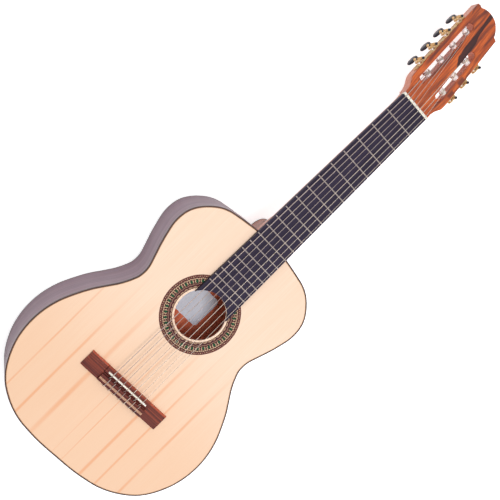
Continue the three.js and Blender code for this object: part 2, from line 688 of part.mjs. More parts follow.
function addTuners(side) {
  const group = new THREE.Group();
  sideMatrix(side).decompose(group.position, group.quaternion, group.scale);
  head.add(group);
  addPart(group, `${side}_tuner_plate`, sidePlate(side), GOLD);
  // The thread's crest at mid height faces the gear.
  const facingGear = -toCrown(side) * (Math.PI / 2);
  STRINGS.forEach((string, i) => {
    if (string.side !== side) return;
    const tuner = new THREE.Group();
    tuner.position.y = toCrown(side) * string.roller * ROLLER_PITCH;
    group.add(tuner);
    const number = i + 1;
    addPart(tuner, `roller_${number}`, roller(), PEARL);
    addPart(tuner, `gear_${number}`, gear(side), GOLD);
    const worm = addPart(tuner, `worm_shaft_${number}`, wormShaft(), GOLD);
    worm.position.set(WORM_X, toCrown(side) * WORM.distance, 0);
    worm.rotation.z = facingGear;
    const knob = addPart(tuner, `button_${number}`, button(), BLACK);
    knob.position.set(WORM_X, toCrown(side) * WORM.distance, BUTTON.centre);
  });
}

addBody();
addNeck();
addBridge();
addStrings();
addTuners('bass');
addTuners('treble');

export default guitar;
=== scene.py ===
"""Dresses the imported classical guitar: fine wood, bone, gold and nylon around the fixed frame.

The frame's coordinates are in metres. The guitar lies on its back, +Y runs to the head, +X to the
treble side and +Z out of the soundboard. Sizes kept in millimetres are multiplied by MM.
"""

from __future__ import annotations

import json
import logging
import math
from dataclasses import dataclass
from enum import Enum
from typing import Callable, Iterable, Sequence

import bmesh
import bpy
from mathutils import Matrix, Vector


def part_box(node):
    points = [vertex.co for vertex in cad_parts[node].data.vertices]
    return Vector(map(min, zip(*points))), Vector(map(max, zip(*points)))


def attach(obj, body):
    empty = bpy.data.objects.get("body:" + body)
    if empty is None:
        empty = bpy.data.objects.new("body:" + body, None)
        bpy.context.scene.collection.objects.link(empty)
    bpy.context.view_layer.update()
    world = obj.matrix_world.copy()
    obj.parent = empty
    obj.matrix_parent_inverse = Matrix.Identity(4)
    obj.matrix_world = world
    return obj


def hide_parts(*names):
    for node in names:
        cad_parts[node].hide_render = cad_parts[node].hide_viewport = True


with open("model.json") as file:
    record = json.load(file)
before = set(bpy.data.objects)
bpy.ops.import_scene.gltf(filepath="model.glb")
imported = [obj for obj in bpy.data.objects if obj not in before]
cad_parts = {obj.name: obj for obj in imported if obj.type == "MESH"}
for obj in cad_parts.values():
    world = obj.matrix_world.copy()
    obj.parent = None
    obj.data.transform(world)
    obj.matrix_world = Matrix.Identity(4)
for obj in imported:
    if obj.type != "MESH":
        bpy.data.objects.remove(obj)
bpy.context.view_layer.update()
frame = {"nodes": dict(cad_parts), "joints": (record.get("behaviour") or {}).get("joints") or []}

LOG = logging.getLogger("guitar")
MM = 0.001
ROOT = "guitar"
SMOOTH_ANGLE = 35.0

# In millimetres: the room the frame leaves between joined pieces, the first roller's place up the
# head, the distance between two rollers, the height of the string holes in the bridge, and the
# distance between two strings at the bridge and at the nut.
GAP = 0.3
FIRST_ROLLER = 58.0
ROLLER_PITCH = 35.0
STRING_HOLE_Z = 105.2
BRIDGE_SPACING = 11.4
NUT_SPACING = 8.2

Loop = Sequence[tuple[float, float]]
Colour = tuple[float, float, float, float]
Socket = bpy.types.NodeSocket


class Side(Enum):
    """The two sides of the strings."""

    BASS = "bass"
    TREBLE = "treble"

    @property
    def sign(self) -> int:
        """Gives 1 on the treble side and -1 on the bass side."""
        return 1 if self is Side.TREBLE else -1


class Grain(Enum):
    """The way the fibres run in a piece of wood."""

    ALONG_Y = "along_y"
    ALONG_X = "along_x"
    ROUND_THE_RIB = "round_the_rib"


def rgb(red: int, green: int, blue: int) -> Colour:
    """Turns a screen colour into a linear one.

    Args:
        red: Red from 0 to 255.
        green: Green from 0 to 255.
        blue: Blue from 0 to 255.

    Returns:
        The linear colour with full alpha.
    """
    def linear(part: float) -> float:
        """Undoes the screen's gamma for one channel."""
        return part / 12.92 if part <= 0.04045 else ((part + 0.055) / 1.055) ** 2.4

    return (linear(red / 255), linear(green / 255), linear(blue / 255), 1.0)


def smoothstep(low: float, high: float, value: float) -> float:
    """Rises smoothly from 0 at low to 1 at high."""
    part = min(max((value - low) / (high - low), 0.0), 1.0)
    return part * part * (3 - 2 * part)


def interpolate(table: Sequence[tuple[float, ...]], at: float) -> list[float]:
    """Reads a short table of stations with a smooth curve between them.

    Args:
        table: Rows whose first value rises, followed by the values at that station.
        at: Where to read it.

    Returns:
        The values there.
    """
    last = len(table) - 1
    index = next((i for i in range(last) if at <= table[i + 1][0]), last - 1)
    rows = [table[min(max(index + step, 0), last)] for step in (-1, 0, 1, 2)]
    span = rows[2][0] - rows[1][0]
    part = min(max((at - rows[1][0]) / span, 0.0), 1.0)
    values = []
    for column in range(1, len(table[0])):
        before, start, end, after = (row[column] for row in rows)
        slope_in = (end - before) / max(rows[2][0] - rows[0][0], 1e-9) * span
        slope_out = (after - start) / max(rows[3][0] - rows[1][0], 1e-9) * span
        values.append(
            start * (2 * part**3 - 3 * part**2 + 1)
            + slope_in * (part**3 - 2 * part**2 + part)
            + end * (3 * part**2 - 2 * part**3)
            + slope_out * (part**3 - part**2)
        )
    return values


# ---------------------------------------------------------------- meshes


def finished_mesh(name: str, bm: bmesh.types.BMesh, smooth_angle: float = SMOOTH_ANGLE) -> bpy.types.Mesh:
    """Closes a bmesh off as a mesh with outward faces and smooth shading up to an angle.

    Args:
        name: The mesh's name.
        bm: The geometry, which is freed.
        smooth_angle: Edges sharper than this many degrees stay sharp.

    Returns:
        The mesh.
    """
    bmesh.ops.recalc_face_normals(bm, faces=bm.faces[:])
    mesh = bpy.data.meshes.new(name)
    bm.to_mesh(mesh)
    bm.free()
    mesh.shade_smooth()
    mesh.set_sharp_from_angle(angle=math.radians(smooth_angle))
    return mesh


def loft_mesh(
    name: str, rings: Sequence[Sequence[Vector]], cyclic: bool = False, angle: float = SMOOTH_ANGLE
) -> bpy.types.Mesh:
    """Skins a row of rings that all have the same number of points.

    Args:
        name: The mesh's name.
        rings: The rings in order.
        cyclic: Joins the last ring to the first. Otherwise both ends are closed.
        angle: Edges sharper than this many degrees stay sharp.

    Returns:
        The closed mesh.
    """
    bm = bmesh.new()
    rows = [[bm.verts.new(point) for point in ring] for ring in rings]
    count = len(rows[0])
    pairs = list(zip(rows, rows[1:])) + ([(rows[-1], rows[0])] if cyclic else [])
    for one, two in pairs:
        for i in range(count):
            j = (i + 1) % count
            bm.faces.new((one[i], one[j], two[j], two[i]))
    if not cyclic:
        bm.faces.new(rows[0])
        bm.faces.new(rows[-1])
    return finished_mesh(name, bm, angle)


def prism_mesh(name: str, loops: Sequence[Loop], low: float, high: float) -> bpy.types.Mesh:
    """Stands an outline with holes up between two heights.

    Args:
        name: The mesh's name.
        loops: The outline first, then its holes, as lists of (x, y).
        low: The height of the bottom.
        high: The height of the top.

    Returns:
        The closed mesh.
    """
    bm = bmesh.new()
    levels = [[[bm.verts.new((x, y, height)) for x, y in loop] for loop in loops] for height in (high, low)]
    for level in levels:
        edges = [bm.edges.new(pair) for ring in level for pair in zip(ring, ring[1:] + ring[:1])]
        bmesh.ops.triangle_fill(bm, use_beauty=True, use_dissolve=False, edges=edges)
    for top, bottom in zip(*levels):
        for i in range(len(top)):
            j = (i + 1) % len(top)
            bm.faces.new((top[i], top[j], bottom[j], bottom[i]))
    return finished_mesh(name, bm)


def turned_mesh(name: str, profile: Loop, segments: int) -> bpy.types.Mesh:
    """Turns a profile of (radius, height) about Z, from axis to axis."""
    bm = bmesh.new()
    rows = []
    for radius, height in profile:
        if radius <= 0:
            rows.append([bm.verts.new((0, 0, height))])
            continue
        angles = [2 * math.pi * i / segments for i in range(segments)]
        rows.append([bm.verts.new((radius * math.cos(a), radius * math.sin(a), height)) for a in angles])
    for one, two in zip(rows, rows[1:]):
        for i in range(segments):
            j = (i + 1) % segments
            corners = [one[i % len(one)], one[j % len(one)], two[j % len(two)], two[i % len(two)]]
            bm.faces.new(list(dict.fromkeys(corners)))
    return finished_mesh(name, bm)


def swept_rings(
    points: Sequence[Vector], radius: float | Callable[[int], float], sides: int
) -> list[list[Vector]]:
    """Stands a round section on each point of a path, turning as little as possible between them.

    Args:
        points: The path.
        radius: The section's radius, or a function of the point's index.
        sides: How many points each section has.

    Returns:
        The rings for a loft.
    """
    rings = []
    across = None
    for i, point in enumerate(points):
        ahead = points[min(i + 1, len(points) - 1)] - points[max(i - 1, 0)]
        along = ahead.normalized()
        guess = across if across is not None else along.orthogonal()
        across = (guess - along * guess.dot(along)).normalized()
        up = along.cross(across)
        size = radius(i) if callable(radius) else radius
        turns = [2 * math.pi * k / sides for k in range(sides)]
        rings.append([point + size * (math.cos(t) * across + math.sin(t) * up) for t in turns])
    return rings


def smooth_path(points: Sequence[Vector], steps: int) -> list[Vector]:
    """Rounds a path off with steps points between each two of its own."""
    table = [(float(i), *point) for i, point in enumerate(points)]
    count = (len(points) - 1) * steps
    return [Vector(interpolate(table, i / steps)) for i in range(count + 1)]


def joined_mesh(name: str, meshes: Iterable[bpy.types.Mesh]) -> bpy.types.Mesh:
    """Puts several closed meshes into one."""
    bm = bmesh.new()
    for mesh in meshes:
        bm.from_mesh(mesh)
    return finished_mesh(name, bm)


def in_metres(mesh: bpy.types.Mesh) -> bpy.types.Mesh:
    """Shrinks a mesh that was made in millimetres."""
    mesh.transform(Matrix.Scale(MM, 4))
    return mesh


def levels(node: str) -> tuple[float, float]:
    """Gives the heights of a node's underside and of its top."""
    low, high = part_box(node)
    return low.z, high.z


def box_mesh(name: str, low: Vector, high: Vector) -> bpy.types.Mesh:
    """Makes a block between two corners."""
    corners = [(low.x, low.y), (high.x, low.y), (high.x, high.y), (low.x, high.y)]
    return prism_mesh(name, [corners], low.z, high.z)


# ---------------------------------------------------------------- pieces


def add_piece(
    name: str,
    mesh: bpy.types.Mesh,
    material: bpy.types.Material,
    slot: str,
    body: str = ROOT,
    replaces: Sequence[str] = (),
    place: Matrix | None = None,
) -> bpy.types.Object:
    """Adds one finished piece of the guitar and lets it ride on a body.

    Args:
        name: The piece's name.
        mesh: Its mesh, which may be shared with its twins.
        material: Its finish.
        slot: The record's material slot; not used.
        body: The body that it moves with.
        replaces: The nodes of the frame that it stands for.
        place: Where its own frame is, if not at the origin.

    Returns:
        The new object.
    """
    piece = bpy.data.objects.new(name, mesh)
    bpy.context.scene.collection.objects.link(piece)
    if place is not None:
        piece.matrix_world = place
    if not mesh.materials:
        mesh.materials.append(material)
    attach(piece, body)
    if replaces:
        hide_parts(*replaces)
    LOG.info("%s rides on %s, %d faces", name, body, len(mesh.polygons))
    return piece


def settle(piece: bpy.types.Object) -> None:
    """Applies a piece's modifiers to its mesh."""
    graph = bpy.context.evaluated_depsgraph_get()
    mesh = bpy.data.meshes.new_from_object(piece.evaluated_get(graph))
    piece.modifiers.clear()
    piece.data = mesh


def cut_mesh(mesh: bpy.types.Mesh, cutter: bpy.types.Mesh) -> bpy.types.Mesh:
    """Cuts one closed mesh out of another and gives what is left."""
    blank = bpy.data.objects.new("blank", mesh)
    tool = bpy.data.objects.new("tool", cutter)
    for item in (blank, tool):
        bpy.context.scene.collection.objects.link(item)
    modifier = blank.modifiers.new("cut", "BOOLEAN")
    modifier.operation = "DIFFERENCE"
    modifier.solver = "EXACT"
    modifier.object = tool
    settle(blank)
    result = blank.data
    for item in (blank, tool):
        bpy.data.objects.remove(item)
    result.shade_smooth()
    result.set_sharp_from_angle(angle=math.radians(SMOOTH_ANGLE))
    return result


def round_edges(piece: bpy.types.Object, width: float) -> None:
    """Takes the sharpness off a piece's edges, by a width in millimetres."""
    modifier = piece.modifiers.new("rounding", "BEVEL")
    modifier.width = width * MM
    modifier.segments = 2
    modifier.limit_method = "ANGLE"
    modifier.angle_limit = math.radians(40)
    modifier.use_clamp_overlap = True
    modifier.harden_normals = True


def copy_of_node(node: str) -> bpy.types.Mesh:
    """Copies a node's mesh with its flat faces whole again, ready for rounding."""
    bm = bmesh.new()
    bm.from_mesh(frame["nodes"][node].data)
    bmesh.ops.remove_doubles(bm, verts=bm.verts[:], dist=0.01 * MM)
    bmesh.ops.dissolve_limit(bm, angle_limit=math.radians(1), verts=bm.verts[:], edges=bm.edges[:])
    return finished_mesh(node, bm)


# ---------------------------------------------------------------- node boards


class Board:
    """A node tree being wired, with short calls for what the finishes need."""

    def __init__(self, tree: bpy.types.NodeTree) -> None:
        """Keeps the tree."""
        self.tree = tree

    def add(
        self, kind: str, inputs: dict[str | int, object] | None = None, **settings: object
    ) -> bpy.types.Node:
        """Adds a node.

        Args:
            kind: The node's type, without its common prefix.
            inputs: Values or sockets for its inputs.
            **settings: Its own properties.

        Returns:
            The node.
        """
        node = self.tree.nodes.new(kind if kind.startswith("Node") else "ShaderNode" + kind)
        for key, value in settings.items():
            setattr(node, key, value)
        for key, value in (inputs or {}).items():
            self.feed(node.inputs[key], value)
        return node

    def feed(self, socket: Socket, value: object) -> None:
        """Links a socket to another one, or sets its value."""
        if isinstance(value, bpy.types.NodeSocket):
            self.tree.links.new(value, socket)
        else:
            socket.default_value = value

    def math(self, operation: str, *values: object, clamp: bool = False) -> Socket:
        """Adds one step of arithmetic and gives its result."""
        node = self.add("Math", dict(enumerate(values)), operation=operation, use_clamp=clamp)
        return node.outputs[0]

    def times(self, first: object, second: object) -> Socket:
        """Multiplies two values."""
        return self.math("MULTIPLY", first, second)

    def plus(self, first: object, second: object) -> Socket:
        """Adds two values."""
        return self.math("ADD", first, second)

    def minus(self, first: object, second: object) -> Socket:
        """Takes the second value from the first."""
        return self.math("SUBTRACT", first, second)

    def over(self, first: object, second: object) -> Socket:
        """Divides the first value by the second."""
        return self.math("DIVIDE", first, second)

    def size(self, value: object) -> Socket:
        """Drops a value's sign."""
        return self.math("ABSOLUTE", value)

    def mix(self, factor: object, first: object, second: object) -> Socket:
        """Mixes two colours and gives the result."""
        node = self.add("Mix", data_type="RGBA")
        for socket, value in zip((node.inputs[0], node.inputs[6], node.inputs[7]), (factor, first, second)):
            self.feed(socket, value)
        return node.outputs[2]

    def noise(self, vector: Socket, scale: float, detail: float = 3.0, distortion: float = 0.0) -> Socket:
        """Adds soft noise and gives its value."""
        inputs = {"Vector": vector, "Scale": scale, "Detail": detail, "Distortion": distortion}
        return self.add("TexNoise", inputs).outputs[0]

    def stretch(self, vector: Socket, scale: Sequence[float]) -> Socket:
        """Scales a vector along each axis."""
        return self.add("Mapping", {"Vector": vector, "Scale": scale}).outputs[0]

    def step(self, value: Socket, low: float, high: float) -> Socket:
        """Gives 0 under low, 1 over high and a smooth rise between them."""
        inputs = {"Value": value, "From Min": low, "From Max": high}
        return self.add("MapRange", inputs, interpolation_type="SMOOTHSTEP").outputs[0]

    def band(self, value: Socket, centre: float, half: float, soft: float) -> Socket:
        """Gives 1 where a value is within half of centre, and falls off over soft."""
        away = self.size(self.minus(value, centre))
        return self.step(away, half + soft, half)

    def parts(self, vector: Socket) -> tuple[Socket, Socket, Socket]:
        """Splits a vector into x, y and z."""
        node = self.add("SeparateXYZ", {0: vector})
        return tuple(node.outputs)

    def vector(self, x: object, y: object, z: object) -> Socket:
        """Builds a vector from x, y and z."""
        return self.add("CombineXYZ", {0: x, 1: y, 2: z}).outputs[0]

    def here(self) -> Socket:
        """Gives the place on the piece in its own coordinates."""
        return self.add("TexCoord").outputs["Object"]

    def bump(self, height: Socket, strength: float, distance: float) -> Socket:
        """Turns a height into a normal; distance is in millimetres."""
        inputs = {"Height": height, "Strength": strength, "Distance": distance * MM}
        return self.add("Bump", inputs).outputs[0]

    def group(self, tree: bpy.types.NodeTree, **inputs: object) -> bpy.types.Node:
        """Places a shared node group with its own values."""
        node = self.add("Group", node_tree=tree)
        for key, value in inputs.items():
            self.feed(node.inputs[key.replace("_", " ")], value)
        return node


def new_group(
    name: str, inputs: dict[str, float | None], outputs: Sequence[str]
) -> tuple[Board, dict[str, Socket]]:
    """Starts a shared node group.

    Args:
        name: The group's name.
        inputs: Its inputs with their default numbers, or None for a vector.
        outputs: Its outputs, all plain values.

    Returns:
        The board to wire it on, and its input sockets by name.
    """
    tree = bpy.data.node_groups.new(name, "ShaderNodeTree")
    for key, value in inputs.items():
        kind = "NodeSocketVector" if value is None else "NodeSocketFloat"
        socket = tree.interface.new_socket(name=key, in_out="INPUT", socket_type=kind)
        if value is not None:
            socket.default_value = value
    for key in outputs:
        tree.interface.new_socket(name=key, in_out="OUTPUT", socket_type="NodeSocketFloat")
    board = Board(tree)
    entry = board.add("NodeGroupInput")
    return board, {key: entry.outputs[key] for key in inputs}


def close_group(board: Board, **outputs: Socket) -> bpy.types.NodeTree:
    """Wires a group's results to its outputs and gives the finished group."""
    board.add("NodeGroupOutput", dict(outputs))
    return board.tree


def grain_group() -> bpy.types.NodeTree:
    """Builds the straight grain of wood whose fibres run along the vector's y axis.

    Returns:
        A group that gives growth lines, broad streaks and open pores.
    """
    inputs = {"Vector": None, "Spacing": 1.2, "Wander": 1.0}
    board, socket = new_group("wood_grain", inputs, ["Lines", "Streaks", "Pores"])
    x, y, z = board.parts(socket["Vector"])
    spacing = board.times(socket["Spacing"], MM)
    slow = board.noise(board.vector(board.times(x, 9), board.times(y, 3.5), z), 1.0, 2)
    drift = board.times(board.minus(slow, 0.5), board.times(socket["Wander"], 5 * MM))
    across = board.over(board.plus(x, drift), spacing)
    depth = board.over(z, spacing)
    along = board.over(y, board.times(spacing, 90))
    lines = board.noise(board.vector(across, along, board.times(depth, 0.3)), 1.0, 2.5)
    wide = board.vector(board.over(across, 9), board.over(along, 2.5), board.over(depth, 20))
    streaks = board.noise(wide, 1.0, 3)
    fine = board.stretch(socket["Vector"], (2600, 130, 1500))
    pores = board.step(board.noise(fine, 1.0, 2), 0.6, 0.72)
    sharp = board.step(lines, 0.36, 0.64)
    return close_group(board, Lines=sharp, Streaks=board.step(streaks, 0.3, 0.7), Pores=pores)


def varnish_group() -> bpy.types.NodeTree:
    """Builds the surface of a rubbed varnish or polish: soft smudges and a faint ripple.

    Returns:
        A group that gives a roughness and a height.
    """
    inputs = {"Vector": None, "Roughness": 0.25, "Smudge": 0.1}
    board, socket = new_group("rubbed_surface", inputs, ["Roughness", "Height"])
    cloud = board.noise(board.stretch(socket["Vector"], (18, 18, 18)), 1.0, 4)
    hairlines = board.noise(board.stretch(socket["Vector"], (900, 60, 900)), 1.0, 2)
    change = board.plus(board.minus(cloud, 0.5), board.times(hairlines, 0.25))
    rough = board.math("MULTIPLY_ADD", change, socket["Smudge"], socket["Roughness"], clamp=True)
    ripple = board.noise(board.stretch(socket["Vector"], (260, 160, 260)), 1.0, 2)
    return close_group(board, Roughness=rough, Height=ripple)


class Groups:
    """The shared shader groups, each built once."""

    grain = grain_group()
    varnish = varnish_group()


@dataclass(frozen=True)
class Polish:
    """The constant settings of a shader: these sit on the shader's own sockets."""

    roughness: float = 0.3
    metallic: float = 0.0
    coat: float = 0.0
    coat_roughness: float = 0.08
    ior: float = 1.5
    smudge: float = 0.1
    ripple: float = 0.03


def new_material(name: str, polish: Polish) -> tuple[bpy.types.Material, Board, bpy.types.Node]:
    """Starts a material with its shader and its varnish.

    Args:
        name: The material's name.
        polish: Its constant settings.

    Returns:
        The material, the board to wire it on, and its shader.
    """
    material = bpy.data.materials.new(name)
    material.use_nodes = True
    material.node_tree.nodes.clear()
    board = Board(material.node_tree)
    shader = board.add("BsdfPrincipled", {
        "Metallic": polish.metallic, "Coat Weight": polish.coat,
        "Coat Roughness": polish.coat_roughness, "IOR": polish.ior,
    })
    board.add("OutputMaterial", {"Surface": shader.outputs[0]})
    place = board.here()
    skin = board.group(Groups.varnish, Vector=place, Roughness=polish.roughness, Smudge=polish.smudge)
    board.feed(shader.inputs["Roughness"], skin.outputs["Roughness"])
    board.feed(shader.inputs["Normal"], board.bump(skin.outputs["Height"], polish.ripple, 0.3))
    return material, board, shader


# ---------------------------------------------------------------- finishes


@dataclass(frozen=True)
class Wood:
    """A wood under varnish: its colours, the way its grain runs and how strong each mark is."""

    name: str
    light: Colour
    dark: Colour
    streak: Colour
    grain: Grain = Grain.ALONG_Y
    spacing: float = 1.2
    wander: float = 1.0
    lines: float = 0.5
    streaks: float = 0.5
    pores: float = 0.0
    mirrored: bool = False
    polish: Polish = Polish()

    def oriented(self, board: Board) -> Socket:
        """Turns the piece's coordinates so that the grain runs along y.

        Args:
            board: The material's board.

        Returns:
            The vector for the grain.
        """
        x, y, z = board.parts(board.here())
        if self.mirrored:
            x = board.size(x)
        if self.grain is Grain.ALONG_X:
            return board.vector(y, x, z)
        if self.grain is Grain.ROUND_THE_RIB:
            return board.vector(z, board.plus(board.times(x, 0.6), y), board.times(x, 0.1))
        return board.vector(x, y, z)

    def colour(self, board: Board) -> Socket:
        """Mixes the wood's colour from its growth lines, streaks and pores.

        Args:
            board: The material's board.

        Returns:
            The colour.
        """
        place = self.oriented(board)
        marks = board.group(Groups.grain, Vector=place, Spacing=self.spacing, Wander=self.wander)
        line = board.times(marks.outputs["Lines"], self.lines)
        wide = board.times(marks.outputs["Streaks"], self.streaks)
        base = board.mix(line, self.light, self.dark)
        tinted = board.mix(wide, base, self.streak)
        pore = board.times(marks.outputs["Pores"], self.pores)
        return board.mix(pore, tinted, self.dark)

    def build(self) -> bpy.types.Material:
        """Makes the material."""
        material, board, shader = new_material(self.name, self.polish)
        board.feed(shader.inputs["Base Color"], self.colour(board))
        return material


@dataclass(frozen=True)
class SpruceTop(Wood):
    """Pale spruce, warmer towards the tail, with a few orange streaks in the lower bout.

    A band is an x in metres and half a width in millimetres.
    """

    glow: Colour = rgb(238, 158, 104)
    warm: Colour = rgb(243, 194, 154)
    bands: tuple[tuple[float, float], ...] = (
        (-0.0585, 5.0), (-0.100, 3.0), (0.052, 3.5), (0.083, 2.4),
        (0.012, 1.2), (-0.009, 0.9), (0.124, 3.0), (-0.142, 2.0),
    )

    def colour(self, board: Board) -> Socket:
        """Adds the streaks and the slow change of tone to the plain grain."""
        base = super().colour(board)
        x, y, _ = board.parts(board.here())
        drift = board.times(board.noise(board.vector(0.0, board.times(y, 4), 0.0), 1.0, 2), 6 * MM)
        across = board.plus(x, drift)
        fade = board.step(y, 0.02, -0.2)
        base = board.mix(board.times(board.step(y, 0.02, -0.24), 0.6), base, self.warm)
        for place, half in self.bands:
            mark = board.band(across, place, half * MM * 0.2, half * MM)
            along = board.noise(board.vector(place * 50, board.times(y, 5), 0.0), 1.0, 1)
            strength = board.times(board.step(along, 0.15, 0.6), board.times(fade, 0.6))
            base = board.mix(board.times(mark, strength), base, self.glow)
        return base


@dataclass(frozen=True)
class HeadFigure(Wood):
    """The orange-brown face of the head, with one long dark flame up its middle and dark clouds.

    In millimetres: a patch is its x, its place up the head, half its width and its reach, and middle
    and spread give the flame's x and half its width at places up the head.
    """

    flame: Colour = rgb(50, 28, 34)
    cloud: Colour = rgb(96, 48, 44)
    patches: tuple[tuple[float, float, float, float], ...] = (
        (34, 62, 4, 9), (33, 92, 5, 10), (-34, 110, 2.5, 60), (24, 186, 2, 26),
    )
    middle: tuple[tuple[float, float], ...] = (
        (80, 14), (95, 13.5), (121, 7), (140, 5), (155, 4.5), (178, 1), (192, 0), (218, -1),
    )
    spread: tuple[tuple[float, float], ...] = (
        (80, 0), (95, 0.5), (121, 5.5), (140, 6.5), (155, 6), (178, 3.5), (192, 2.5), (218, 4),
    )

    def curve(self, board: Board, y: Socket, table: Sequence[tuple[float, float]]) -> Socket:
        """Runs through a table of widths up the head.

        Args:
            board: The material's board.
            y: The place up the head, in metres.
            table: Pairs of a station up the head and a width, in millimetres.

        Returns:
            The width there, in metres.
        """
        total: Socket | None = None
        for (low, first), (high, last) in zip(table, table[1:]):
            part = board.step(y, Head.station_y(low), Head.station_y(high))
            rise = board.times(part, (last - first) * MM)
            total = board.plus(rise, table[0][1] * MM if total is None else total)
        return total

    def colour(self, board: Board) -> Socket:
        """Lays the clouds and the flame over the plain grain."""
        base = super().colour(board)
        x, y, _ = board.parts(board.here())
        warped = board.vector(board.times(x, 70), board.times(y, 9), 0.0)
        clouds = board.noise(warped, 1.0, 3, 1.0)
        base = board.mix(board.times(board.step(clouds, 0.5, 0.64), 0.8), base, self.cloud)
        shake = board.times(board.minus(board.noise(warped, 2.0, 3), 0.5), 5 * MM)
        for place, s, half, reach in self.patches:
            spot = board.band(board.plus(x, shake), place * MM, half * 0.4 * MM, half * 0.9 * MM)
            along = board.band(y, Head.station_y(s), reach * 0.5 * MM, reach * 0.5 * MM)
            base = board.mix(board.times(board.times(spot, along), 0.8), base, self.cloud)
        away = board.size(board.minus(board.plus(x, shake), self.curve(board, y, self.middle)))
        edge = board.minus(away, self.curve(board, y, self.spread))
        low = Head.station_y(self.middle[0][0])
        inside = board.times(board.step(edge, 1.0 * MM, -0.6 * MM), board.step(y, low, low + 0.02))
        return board.mix(board.times(inside, 0.94), base, self.flame)


@dataclass(frozen=True)
class HeadCore(Wood):
    """The cedar of the head, freshly cut and more orange in the ramps of the string slots."""

    ramp: Colour = rgb(228, 106, 42)

    def colour(self, board: Board) -> Socket:
        """Warms the ramps."""
        base = super().colour(board)
        x, y, _ = board.parts(board.here())
        across = board.band(board.size(x), 20 * MM, 8 * MM, 0.5 * MM)
        low, high = Head.station_y(27), Head.station_y(46)
        along = board.band(y, (low + high) / 2, (high - low) / 2, 1 * MM)
        return board.mix(board.times(across, along), base, self.ramp)


@dataclass(frozen=True)
class BridgeWoodWithPaintedLight(Wood):
    """Bridge rosewood with painted light: a lit front edge, and painted shade behind it and over the middle
    block.
    """

    # warm is painted light on the front edge; deep is painted shade behind it and over the middle block.
    warm: Colour = rgb(204, 92, 58)
    deep: Colour = rgb(70, 26, 30)

    def colour(self, board: Board) -> Socket:
        """Paints light on the front edge, and shade behind it and over the middle block, over the grain."""
        base = super().colour(board)
        x, y, _ = board.parts(board.here())
        low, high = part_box("bridge")
        # Painted light on the front edge, then painted shade behind it and over the middle block.
        front = board.step(y, high.y - 4 * MM, high.y - 1.5 * MM)
        painted_shade_behind = board.step(y, low.y + 14 * MM, low.y + 2 * MM)
        middle = board.step(board.size(x), 50 * MM, 46 * MM)
        base = board.mix(board.times(front, 0.6), base, self.warm)
        base = board.mix(board.times(painted_shade_behind, 0.5), base, self.deep)
        return board.mix(board.times(middle, 0.35), base, self.deep)


@dataclass(frozen=True)
class Mosaic:
    """The inlaid rings round the sound hole: a chain of green lozenges between bands of small chips."""

    name: str
    inner: float
    outer: float
    repeats: int = 38
    phase: float = 0.565
    green: Colour = rgb(8, 70, 40)
    cream: Colour = rgb(236, 208, 166)
    maroon: Colour = rgb(72, 24, 32)
    pink: Colour = rgb(136, 66, 58)
    tan: Colour = rgb(140, 84, 58)
    black: Colour = rgb(20, 12, 16)

    def build(self) -> bpy.types.Material:
        """Makes the material from the angle and the radius about the hole's axis."""
        material, board, shader = new_material(self.name, Polish(roughness=0.4, coat=0.15))
        x, y, _ = board.parts(board.here())
        radius = board.over(board.math("SQRT", board.plus(board.times(x, x), board.times(y, y))), MM)
        turn = board.over(board.math("ARCTAN2", y, x), 2 * math.pi)
        cell = board.math("FRACT", board.math("MULTIPLY_ADD", turn, float(self.repeats), 100 + self.phase))
        across = board.size(board.minus(cell, 0.5))
        middle = (self.inner + self.outer) / 2
        pitch = 2 * math.pi * middle / self.repeats
        up = board.over(board.minus(radius, middle), pitch)
        height = board.size(up)
        chips = 4.5
        tile = board.vector(
            *(board.math("FLOOR", board.times(value, 2 * chips)) for value in (across, up)), 0.0
        )
        pick = board.add("TexWhiteNoise", {"Vector": tile}).outputs[0]
        colour = board.mix(board.step(pick, 0.64, 0.65), self.maroon, self.pink)
        colour = board.mix(board.step(pick, 0.93, 0.94), colour, self.cream)
        away = board.size(board.minus(radius, middle))
        wave = board.math("MULTIPLY_ADD", across, 2.4, away)
        zigzag = board.times(board.band(wave, 5.0, 0.2, 0.2), 0.45)
        colour = board.mix(zigzag, colour, self.cream)
        colour = board.mix(board.times(board.band(wave, 7.2, 1.1, 0.3), 0.7), colour, self.maroon)
        checks = board.times(board.band(away, 9.1, 0.3, 0.15), board.step(pick, 0.72, 0.74))
        colour = board.mix(checks, colour, self.cream)
        lozenge = board.plus(board.times(across, 4.0), board.times(height, 3.0))
        soft = 0.05
        flank = board.times(board.band(lozenge, 1.45, 0.14, 0.08), board.step(height, 0.24, 0.18))
        colour = board.mix(flank, colour, self.cream)
        colour = board.mix(board.step(lozenge, 1.2 + soft, 1.2), colour, self.black)
        colour = board.mix(board.step(lozenge, 1.05 + soft, 1.05), colour, self.green)
        for place, half, tone in (
            (self.outer - 0.3, 0.3, self.maroon), (self.outer - 0.9, 0.2, self.tan),
            (self.inner + 0.3, 0.3, self.maroon), (self.inner + 0.9, 0.2, self.tan),
        ):
            colour = board.mix(board.band(radius, place, half - 0.05, 0.1), colour, tone)
        board.feed(shader.inputs["Base Color"], colour)
        return material


